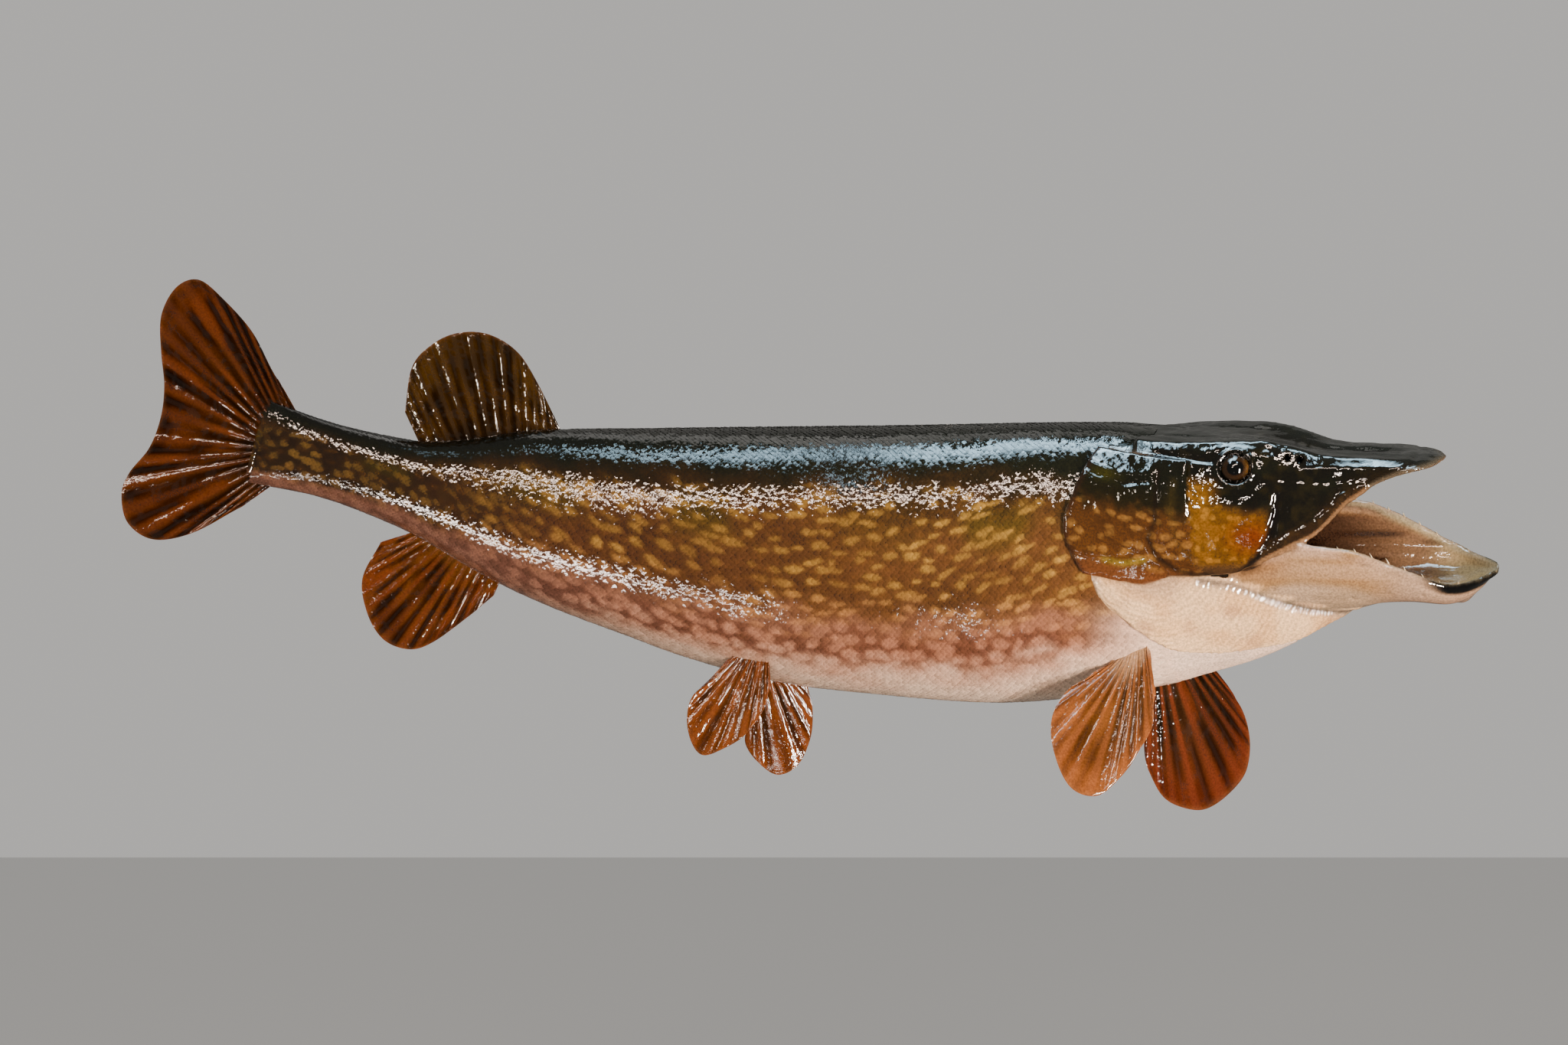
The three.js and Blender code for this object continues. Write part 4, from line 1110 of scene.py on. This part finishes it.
def covered(s, z):
    """Whether the scales have begun: behind the nape, the gill cover and the gill membranes."""
    cover = gill_rear(np.clip(z, -30, 66)) - 9
    nape = 203 + 34 * ease(80, 66, z)
    edge = np.interp(-z, (28, 43, 68, 79, 82), (246, 239, 208, 186, 176)) - 2
    start = np.where(z > 66, nape, np.where(z > -28, cover, edge))
    return s > np.maximum(start, 196)


def surface(s, fraction, side, height):
    """The coat's surface at a fraction of the half girth, lifted off the trunk by a height."""
    turn = table_at(turn_at, s, np.clip(fraction, 0, 1))
    at = trunk_point(s, turn)
    behind = trunk_point(s + 1.0, turn)
    beside = trunk_point(s, turn + 0.01)
    ahead = trunk_point(s, turn - 0.01)
    normal = np.cross(behind - at, beside - ahead)
    normal = normal / np.maximum(np.linalg.norm(normal, axis=-1, keepdims=True), 1e-9)
    outward = np.sign(np.sum(normal * (at - np.stack([s, 0 * s, widest_at(s)], -1)), axis=-1))
    at = at + normal * (outward * height)[..., None]
    at[..., 1] *= side
    return at


def scale_roots():
    """Where each scale is rooted: s, fraction of the half girth and pitch factor."""
    roots = []
    for k in range(-LIE_ROWS, LIE_ROWS + 80):
        s = SCALES_FROM + (0.5 * (k % 2)) * SCALE_PITCH
        while s < SCALES_TO:
            small = float(mix(1.0, 0.70, ease(560, 860, s)))
            here = float(np.interp(s, girth_s, half_girth))
            fraction = MIDDLE_ROW + k * ROW_PITCH * small / here
            if 0.004 < fraction < 0.996:
                roots.append((s, fraction, small))
            s += SCALE_PITCH * small
    return np.array(roots)


def mesh_from(name, points, quads):
    """A mesh of quads straight from arrays, for the thousands of joined scales."""
    mesh = bpy.data.meshes.new(name)
    mesh.vertices.add(len(points))
    mesh.vertices.foreach_set("co", np.ascontiguousarray(points, dtype=np.float32).ravel())
    mesh.loops.add(quads.size)
    mesh.loops.foreach_set("vertex_index", np.ascontiguousarray(quads, dtype=np.int32).ravel())
    mesh.polygons.add(len(quads))
    mesh.polygons.foreach_set("loop_start", np.arange(0, quads.size, 4, dtype=np.int32))
    mesh.update(calc_edges=True)
    mesh.validate()
    holder = bpy.data.objects.new(name, mesh)
    bpy.context.collection.objects.link(holder)
    return holder


# One plate's pattern: a rounded grid, and a rim that goes down into the skin round its free edge.
# The rim has corners of its own, so that the plate's face shades as one smooth shell.
across, along = [place.ravel() for place in np.meshgrid(np.linspace(-1, 1, GRID), np.linspace(0, 1, GRID))]
plate_across = across * np.sqrt(np.clip(1 - 0.42 * along ** 2, 0, 1)) * mix(0.72, 1, ease(0, 0.5, along))
plate_along = along * (1 - 0.22 * across ** 2)
face_quads = [[r * GRID + c, (r + 1) * GRID + c, (r + 1) * GRID + c + 1, r * GRID + c + 1]
              for r in range(GRID - 1) for c in range(GRID - 1)]
rim = [r * GRID for r in range(GRID)] + [(GRID - 1) * GRID + c for c in range(1, GRID)]
rim += [r * GRID + GRID - 1 for r in range(GRID - 2, -1, -1)]
RIM = len(rim)
FACE = GRID * GRID
rim_quads = [[FACE + i, FACE + RIM + i, FACE + RIM + i + 1, FACE + i + 1] for i in range(RIM - 1)]
plate_quads = np.array(face_quads + rim_quads)
smooth = np.arange(len(plate_quads)) < len(face_quads)
shape_across = np.concatenate([plate_across, plate_across[rim], plate_across[rim]])
shape_along = np.concatenate([plate_along, plate_along[rim], plate_along[rim]])
is_foot = np.concatenate([np.zeros(FACE + RIM), np.ones(RIM)])
on_rim = np.concatenate([np.zeros(FACE), np.ones(2 * RIM)])

roots = scale_roots()
scale_skin = painted("painted_scales", 0.16, 0.0012, 0.40, 0.0026, 0.0011, 0.06, 0.00018)
for side, side_name in SIDES:
    at = surface(roots[:, 0], roots[:, 1], side, np.zeros(len(roots)))
    mine = roots[covered(roots[:, 0], at[:, 2])]
    order = np.argsort(mine[:, 0])
    for part, chosen in enumerate(np.array_split(mine[order], 3)):
        count = len(chosen)
        s0, f0, small = [column[:, None] for column in chosen.T]
        number = np.arange(count) + 100000 * part + 500000 * (side > 0)
        luck = [chance(number, 5, k)[:, None] - 0.5 for k in range(5)]
        girth = np.interp(s0, girth_s, half_girth)
        s = s0 + shape_along * SCALE_LENGTH * small + luck[0] * 0.7
        fraction = f0 + (shape_across * SCALE_WIDTH * 0.5 * small + luck[1] * 0.5) / girth
        # The free edge rises off the skin, less so at the gill cover and under the belly.
        flat = ease(206, 232, s0) * mix(0.6, 1.0, ease(0.10, 0.30, f0))
        rise = SCALE_RISE * (1 + 0.5 * luck[2]) * shape_along * 1.35 + SCALE_ARCH * (1 - shape_across ** 2)
        height = small * (rise * flat - SCALE_RISE + luck[3] * 0.36 * shape_across - is_foot * SCALE_EDGE)
        wrap = np.where(fraction < 0, -1, 1) * np.where(fraction > 1, -1, 1)
        folded = np.where(fraction > 1, 2 - fraction, np.abs(fraction))
        at = surface(s, folded, side, height)
        at[..., 1] *= wrap
        paint = body_paint(s, at[..., 1], at[..., 2])
        paint = mix(paint, paint.mean(axis=1, keepdims=True), 0.25)
        # Each plate is darker towards its free end, its rim, which steps down into the skin, is painted
        # darker as shade, and each plate is lighter or darker at random.
        tick = ease(0.45, 0.95, shape_along) * (1 - 0.7 * np.abs(shape_across))
        shade = 1.08 - 0.42 * tick - 0.35 * on_rim + 0.26 * luck[4]
        corners = plate_quads[None] + (np.arange(count) * at.shape[1])[:, None, None]
        quads = corners.reshape(-1, 4)
        if side > 0:
            quads = quads[:, ::-1]
        name = "scales_" + ("front", "middle", "rear")[part] + "_" + side_name
        coat = mesh_from(name, pose(at.reshape(-1, 3)), quads)
        attribute(coat, "paint", "FLOAT_COLOR", (paint * shade[..., None]).reshape(-1, 3))
        # Each scale's bake patch lies at its root on the body's own unwrap: s along, girth across.
        bake = coat.data.uv_layers.new(name="OFBake")
        patch_u = 0.02 + (s0 - 190) / 760 + (shape_along - 0.5) * 0.003
        patch_v = 0.5 + side * (0.006 + f0 * girth * 0.0016) + shape_across * 0.0015
        patch = np.stack([patch_u, patch_v], -1).reshape(-1, 2)
        used = np.empty(len(coat.data.loops), np.int64)
        coat.data.loops.foreach_get("vertex_index", used)
        bake.data.foreach_set("uv", patch[used].astype(np.float32).ravel())
        # The plates' faces are smooth; their rims stay flat, so that each edge keeps its corner.
        coat.data.polygons.foreach_set("use_smooth", np.tile(smooth, count))
        coat.data.materials.append(scale_skin)
        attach(coat, "root")

# --- Eyes ---------------------------------------------------------------------------------------
# Cast glass eyes: a black pupil drawn forward to a point, a gold ring, and a dark brown iris, under
# a clear dome. Each is glued into its socket.
glass = painted("eye_glass", 0.05, 0.0006, 0.35, 0.02, 0.004, 0.2, 0.00003, 0.02)
for side, side_name in SIDES:
    deselect()
    bpy.ops.mesh.primitive_uv_sphere_add(segments=64, ring_count=40, radius=EYE_RADIUS)
    ball = bpy.context.object
    ball.name = "glass_eye_" + side_name
    x, y, out = points_of(ball).T / EYE_RADIUS
    axis = EYE_AXIS * [1, side, 1]
    upright = np.array([0, 0, 1.0]) - axis * axis[2]
    upright = upright / np.linalg.norm(upright)
    forward = np.cross(axis, upright) * side
    bulge = np.where(out > 0, 1 + 0.05 * ease(0.7, 1.0, out), 1)
    at = (np.outer(x, forward) + np.outer(y, upright) + np.outer(out * bulge, axis)) * EYE_RADIUS
    put_points(ball, pose(at + EYE_AT * [1, side, 1]))
    # From here on x points to the snout, where the pupil is drawn forward and the ring is gold.
    x = x * -np.sign(forward[0])
    reach = np.hypot(x * np.where(x > 0, 0.86, 1.0), y * 1.06) * EYE_RADIUS
    grain = noise(np.stack([np.arctan2(y, x) * 9, reach * 0.35, 0 * x], -1), 1.0, 81)
    ring = bell(reach - 7.4, 1.5) * (0.75 + 0.35 * grain) * mix(0.03, 1.0, ease(0.35, 0.80, x))
    attribute(ball, "paint", "FLOAT_COLOR", coats(
        linear(34, 24, 12) * np.ones((len(x), 3)),
        (ease(4.9, 5.7, reach) * (1 - ease(8.0, 9.4, reach)), (58, 38, 16)),
        (ring * 0.8, (140, 106, 60)),
        (1 - ease(5.4, 6.0, reach), (3, 3, 3)),
        (ease(8.8, 10.2, reach), (8, 6, 4)),
        (np.where(out < 0.1, 1.0, 0.0), (10, 8, 5))))
    face_outward(ball)
    ball.data.shade_smooth()
    ball.data.materials.append(glass)
    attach(ball, "root")
    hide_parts("eye_" + side_name)

# --- Fins ---------------------------------------------------------------------------------------
# Spread fins of thin cast membrane over branching rays, painted orange brown with dark blotches in
# rows, set into the body at their feet. Each is one closed sheet, thick at the foot.
FIN_ROWS = 40
RAY_CELLS = 8


def spline(points, t):
    """A smooth curve through points, read at t from 0 to 1 by the length of its chords."""
    points = np.array(points, float)
    points = np.vstack([2 * points[0] - points[1], points, 2 * points[-1] - points[-2]])
    chords = np.linalg.norm(np.diff(points[1:-1], axis=0), axis=1)
    knots = np.concatenate([[0], np.cumsum(chords)]) / chords.sum()
    i = np.clip(np.searchsorted(knots, t, side="right") - 1, 0, len(chords) - 1)
    u = ((t - knots[i]) / (knots[i + 1] - knots[i]))[..., None]
    a, b, c, d = points[i], points[i + 1], points[i + 2], points[i + 3]
    return 0.5 * (2 * b + (c - a) * u + (2 * a - 5 * b + 4 * c - d) * u ** 2
                  + (3 * b - a - 3 * c + d) * u ** 3)


def polyline(points, t):
    """A bent line through points, read at t from 0 to 1 by length."""
    points = np.array(points, float)
    chords = np.linalg.norm(np.diff(points, axis=0), axis=1)
    knots = np.concatenate([[0], np.cumsum(chords)]) / chords.sum()
    return np.stack([np.interp(t, knots, points[:, k]) for k in range(3)], -1)


def on_back(s, depth):
    return (s, 0, back_line(s) - depth)


def on_belly(s, depth):
    return (s, 0, belly_line(s) + depth)


# Each fin's foot line and tip line in (s, v, z), both from the front of the fin to its rear, how
# many rays it has, and its colouring.
FINS = {
    "dorsal_fin": ([on_back(676, 8), on_back(728, 8), on_back(783, 6)],
                   [(690, 0, 77), (709, 0, 97), (732, 0, 116.5), (757, 0, 124), (780, 0, 119),
                    (797, 0, 105), (807, 0, 84), (803, 0, 50)], 15, "dark"),
    "anal_fin": ([on_belly(700, 8), on_belly(734, 8), on_belly(768, 6)],
                 [(703, 0, -67), (717, 0, -88), (736, 0, -113), (752, 0, -123), (773, 0, -120.5),
                  (790, 0, -104), (800, 0, -80), (794, 0, -50)], 13, "orange"),
    "caudal_fin": ([(882, 0, 29), (897, 0, 19), (902, 0, 0), (897, 0, -20), (884, 0, -31)],
                   [(904, 0, 51), (930, 1, 78), (957, 2, 95), (977, 3, 103), (991, 3, 93),
                    (996, 2, 70), (989, 0, 44), (980, 0, 20), (976, 0, -4), (978, 0, -28),
                    (987, 0, -50), (988, 1, -67), (978, 2, -86), (957, 2, -93), (931, 1, -81),
                    (901, 0, -52)], 19, "tail"),
    "pectoral_fin_right": ([(212, 40, -76), (222, 40, -82), (234, 38, -90)],
                           [(206, 58, -108), (207, 66, -131), (216, 74, -152), (229, 78, -174),
                            (243, 78, -185), (258, 76, -182), (269, 72, -164), (275, 64, -140),
                            (268, 54, -118), (250, 47, -100)], 13, "pale_foot"),
    "pectoral_fin_left": ([(212, -40, -76), (222, -40, -82), (234, -38, -90)],
                          [(184, -52, -134), (171, -56, -160), (167, -58, -187), (172, -60, -214),
                           (186, -60, -230), (204, -60, -235), (222, -58, -222), (234, -56, -200),
                           (239, -52, -172), (236, -46, -135)], 13, "far"),
    "pelvic_fin_right": ([(508, 33, -94), (519, 32, -92), (531, 30, -90)],
                         [(507, 40, -117), (511, 42, -133), (524, 44, -152), (541, 45, -163),
                          (556, 45, -168), (564, 44, -158), (567, 42, -141), (563, 40, -123),
                          (547, 37, -108)], 10, "plain"),
    "pelvic_fin_left": ([(505, -33, -94), (516, -32, -92), (528, -30, -90)],
                        [(479, -40, -118), (475, -42, -137), (477, -44, -158), (486, -46, -178),
                         (502, -46, -186), (517, -44, -176), (527, -42, -161), (525, -40, -143),
                         (519, -37, -122)], 10, "plain"),
}
# Each colouring's membrane, its tint towards the edge, and how dark its blotches, the lines
# between its rays and its foot are.
FIN_COLOURS = {
    "dark": ((88, 62, 24), (86, 62, 18), 0.6, 0.6, 0.5),
    "orange": ((124, 78, 34), (122, 62, 20), 0.5, 0.7, 0.3),
    "tail": ((92, 55, 18), (128, 68, 18), 0.6, 0.8, 0.5),
    "pale_foot": ((132, 84, 44), (160, 98, 54), 0.35, 0.4, 0.0),
    "plain": ((134, 80, 38), (152, 88, 40), 0.3, 0.45, 0.15),
    "far": ((74, 50, 30), (122, 58, 28), 0.6, 0.7, 0.6),
}


def fin_paint(kind, along, out, rays, seed, across):
    """Orange-brown membrane, streaked between the rays and blotched dark in bands across them."""
    base, tint, blotches, lines, foot = FIN_COLOURS[kind]
    cell = np.stack([along * rays, out * 3.4, 0 * along], -1)
    streak = noise(cell * [2.0, 0.8, 1], 1.0, seed)
    blotch = noise(cell * [1.5, 0.5, 1], 1.0, seed + 1)
    band = np.sin(out * 13 + 2.2 * noise(cell * [0.4, 0.4, 1], 1.0, seed + 2) + seed)
    patchy = ease(-0.5, 0.3, noise(cell * [1.0, 1.2, 1], 1.0, seed + 3))
    paired = kind in ("pale_foot", "plain", "far")
    colour = coats(
        linear(*base) * np.ones(along.shape + (3,)),
        (ease(0.35, 0.9, out) * 0.35, tint),
        (blotches * ease(0.0, 0.4, 0.75 * blotch + 0.25 * band), (24, 15, 7)))
    colour = layer(colour, 0.45 * ease(0.1, 0.6, streak), linear(*base) * 0.3)
    colour = layer(colour, 0.35 * ease(0.2, 0.7, -streak), linear(*tint) * 1.6)
    colour = coats(
        colour,
        (paired * 0.45 * bell(out - 0.45, 0.3) * ease(-0.3, 0.4, blotch), (58, 42, 16)),
        (paired * 0.5 * ease(0.72, 0.98, out), tint),
        (lines * patchy * (1 - ease(0.15, 0.6, across)), (26, 16, 8)))
    # The rays' crests are painted lighter: a painted highlight along each ray.
    colour = layer(colour, 0.35 * ease(0.5, 1.0, across), linear(*tint) * 1.3)
    pale_foot = (kind == "pale_foot") * (0.6 + 0.3 * bell(out, 0.12))
    return coats(
        colour,
        (foot * (1 - ease(0.02, 0.3, out)), (40, 30, 16)),
        ((1 - ease(0.03, 0.30, out)) * pale_foot, (186, 148, 112)),
        ((kind == "orange") * (1 - ease(0.0, 0.22, out)) * 0.6, (160, 112, 60)),
        (ease(0.965, 1.0, out) * 0.35, (170, 116, 76)))


def closed_fin(name, foot, tip, rays, kind, seed):
    """A fin's sheet from its foot to its tip, thickened, ribbed by its rays, waved and painted."""
    places = []

    def middle(down, along):
        places.append((down, along))
        start = polyline(foot, along)
        return start + (spline(tip, along) - start) * down[:, None]

    piece = sheet(name, FIN_ROWS, rays * RAY_CELLS, middle)
    at = points_of(piece)
    normal = normals_of(piece)
    out, along = places[0]
    apply(piece, "SOLIDIFY", thickness=1.0, offset=0)
    cycles = along * rays
    main = 0.5 + 0.5 * np.cos(2 * np.pi * cycles)
    split = 0.5 + 0.5 * np.cos(4 * np.pi * cycles)
    broken = 0.72 + 0.5 * noise(np.stack([cycles, out * 13, 0 * out], -1), 1.0, seed + 5)
    rays_up = broken * mix(main ** 5, np.maximum(main ** 6, split ** 4 * 0.8), ease(0.45, 0.7, out))
    joints = 1 - 0.16 * (np.sin(out * 95) > 0.75) * ease(0.3, 0.5, out)
    wave = 1.2 * np.sin(along * 9 + seed) * ease(0.3, 1.0, out)
    wave = wave + 0.7 * np.sin(cycles * np.pi) * ease(0.2, 1.0, out)
    half = mix(1.5, 0.32, out ** 0.6)
    half = half + mix(1.1, 0.42, out ** 0.7) * rays_up * joints * ease(-0.02, 0.12, out)
    half = half * mix(1, 0.45, ease(0.96, 1.0, out))
    rim = np.minimum(along, 1 - along) * rays
    half = half + 0.5 * bell(rim - 0.15, 0.25) * (1 - 0.6 * out)
    faces = np.concatenate([at + normal * (wave + half)[:, None], at + normal * (wave - half)[:, None]])
    put_points(piece, pose(faces))
    colour = fin_paint(kind, along, out, rays, seed, main)
    attribute(piece, "paint", "FLOAT_COLOR", np.concatenate([colour, colour]))
    # The varnish shines only on the rays' crests and in flecks, so the membrane stays dull.
    fleck = ease(0.25, 0.5, noise(np.stack([cycles * 3, out * 42, 0 * out], -1), 1.0, seed + 6))
    crest = ease(0.62, 0.95, np.maximum(main, split * ease(0.45, 0.7, out)))
    dull = 0.9 * (1 - np.maximum(crest, fleck))
    attribute(piece, "dull", "FLOAT", np.concatenate([dull, dull]))
    face_outward(piece)
    bpy.ops.object.shade_smooth_by_angle(angle=math.radians(75))
    return piece


fin_skin = painted("painted_fins", 0.25, 0.0014, 0.42, 0.0045, 0.0014, 0.24, 0.00045, 0.04)
for seed, (name, (foot, tip, rays, kind)) in enumerate(FINS.items()):
    piece = closed_fin("cast_" + name, foot, tip, rays, kind, seed * 10 + 201)
    piece.data.materials.append(fin_skin)
    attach(piece, "root")
    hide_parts(name)

# --- Teeth --------------------------------------------------------------------------------------
# Cast ivory teeth, grown from the jaws: tall canines along both sides of the lower jaw, and short
# backward-pointing rows on the palate and the upper lip. All are joined in one mesh.
TOOTH_SIDES = 8
CANINES = ((-10, 3.2), (2, 3.0), (13, 4.2), (25, 5.0), (36, 5.8), (47, 5.2), (58, 4.2), (70, 3.4))


def tooth(place, upright, height, lean):
    """One curved cone on a spot of the straight fish, leaning back by a share of its height."""
    deselect()
    bpy.ops.mesh.primitive_cone_add(vertices=TOOTH_SIDES, radius1=0.19, radius2=0.0, depth=1.0)
    spike = bpy.context.object
    bpy.ops.object.mode_set(mode="EDIT")
    bpy.ops.mesh.select_all(action="SELECT")
    bpy.ops.mesh.subdivide(number_cuts=2)
    bpy.ops.object.mode_set(mode="OBJECT")
    at = points_of(spike)
    up = at[:, 2] + 0.5
    at = at * [1, 1, 0] + np.outer(up, upright) + np.outer(up ** 2 * lean, (1, 0, 0))
    ivory = linear(150, 112, 76) * np.ones(at.shape)
    attribute(spike, "paint", "FLOAT_COLOR", coats(ivory, (ease(0.05, 0.5, up), (226, 206, 172))))
    put_points(spike, pose(at * height + place))
    return spike


teeth = []
for side in (1, -1):
    for s, height in CANINES:
        foot = twisted(s, side * (rim_out(s) - 2.6), rim_line(s) - 0.8)
        teeth.append(tooth((s, *foot), (0, 0.10 * side, 1), height, 0.35))
    for s in range(14, 96, 6):
        teeth.append(tooth((s, side * (lip_out(s) - 2.2), lip_line(s) + 0.8), (0, 0, -1), 2.3, 0.5))
    for s in range(24, 100, 7):
        z = mix(lip_line(s), palate_line(s), 0.93)
        teeth.append(tooth((s, side * lip_out(s) * 0.42, z + 0.6), (0, 0, -1), 3.2, 0.6))
teeth = join(teeth, "cast_teeth")
teeth.data.shade_smooth()
teeth.data.materials.append(painted("ivory_paint", 0.08, 0.0008, 0.35, 0.004, 0.0008, 0.3, 0.0002))
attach(teeth, "root")

# --- Block and hanger ---------------------------------------------------------------------------
# A planed softwood block set into the back of the form, with the steel keyhole plate and its two
# screws that the mount hangs by. They are the frame's own pieces, given their materials here.
BOARD_GRAIN = 0.010
wood, tree = new_material("planed_wood")
place = node(tree, "TexCoord")
stretch = node(tree, "Mapping", {"Vector": place.outputs["Object"], "Scale": (0.08, 1.0, 1.0)})
rings = node(tree, "TexWave", {"Vector": stretch.outputs[0], "Scale": 0.35 / BOARD_GRAIN,
                               "Distortion": 6.0, "Detail": 3.0}, wave_type="RINGS", rings_direction="X")
grain = maths(tree, "MULTIPLY_ADD", noise_of(tree, stretch.outputs[0], 900), 0.3, rings.outputs["Fac"])
tint = node(tree, "ValToRGB", {0: grain})
tint.color_ramp.elements[0].color = (*linear(196, 156, 108), 1)
tint.color_ramp.elements[1].color = (*linear(158, 112, 68), 1)
bump = node(tree, "Bump", {"Height": grain, "Distance": 0.0003})
shader = node(tree, "BsdfPrincipled", {"Base Color": tint.outputs[0], "Roughness": 0.62,
                                       "Normal": bump.outputs[0]})
node(tree, "OutputMaterial", {0: shader.outputs[0]})

steel, tree = new_material("zinc_steel")
place = node(tree, "TexCoord")
stretch = node(tree, "Mapping", {"Vector": place.outputs["Object"], "Scale": (0.05, 1.0, 1.0)})
scratch = noise_of(tree, stretch.outputs[0], 1800, 4.0)
rough = node(tree, "MapRange", {"Value": scratch, "To Min": 0.28, "To Max": 0.48})
bump = node(tree, "Bump", {"Height": scratch, "Distance": 0.00005})
shader = node(tree, "BsdfPrincipled", {"Base Color": (*linear(190, 190, 184), 1), "Metallic": 1.0,
                                       "Roughness": rough.outputs[0], "Normal": bump.outputs[0]})
node(tree, "OutputMaterial", {0: shader.outputs[0]})

for name, material, slot in (("back_block", wood, "block_wood"), ("hanger_plate", steel, "hanger_steel"),
                             ("hanger_screw_left", steel, "hanger_steel"),
                             ("hanger_screw_right", steel, "hanger_steel")):
    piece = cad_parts[name]
    piece.data.materials.clear()
    piece.data.materials.append(material)
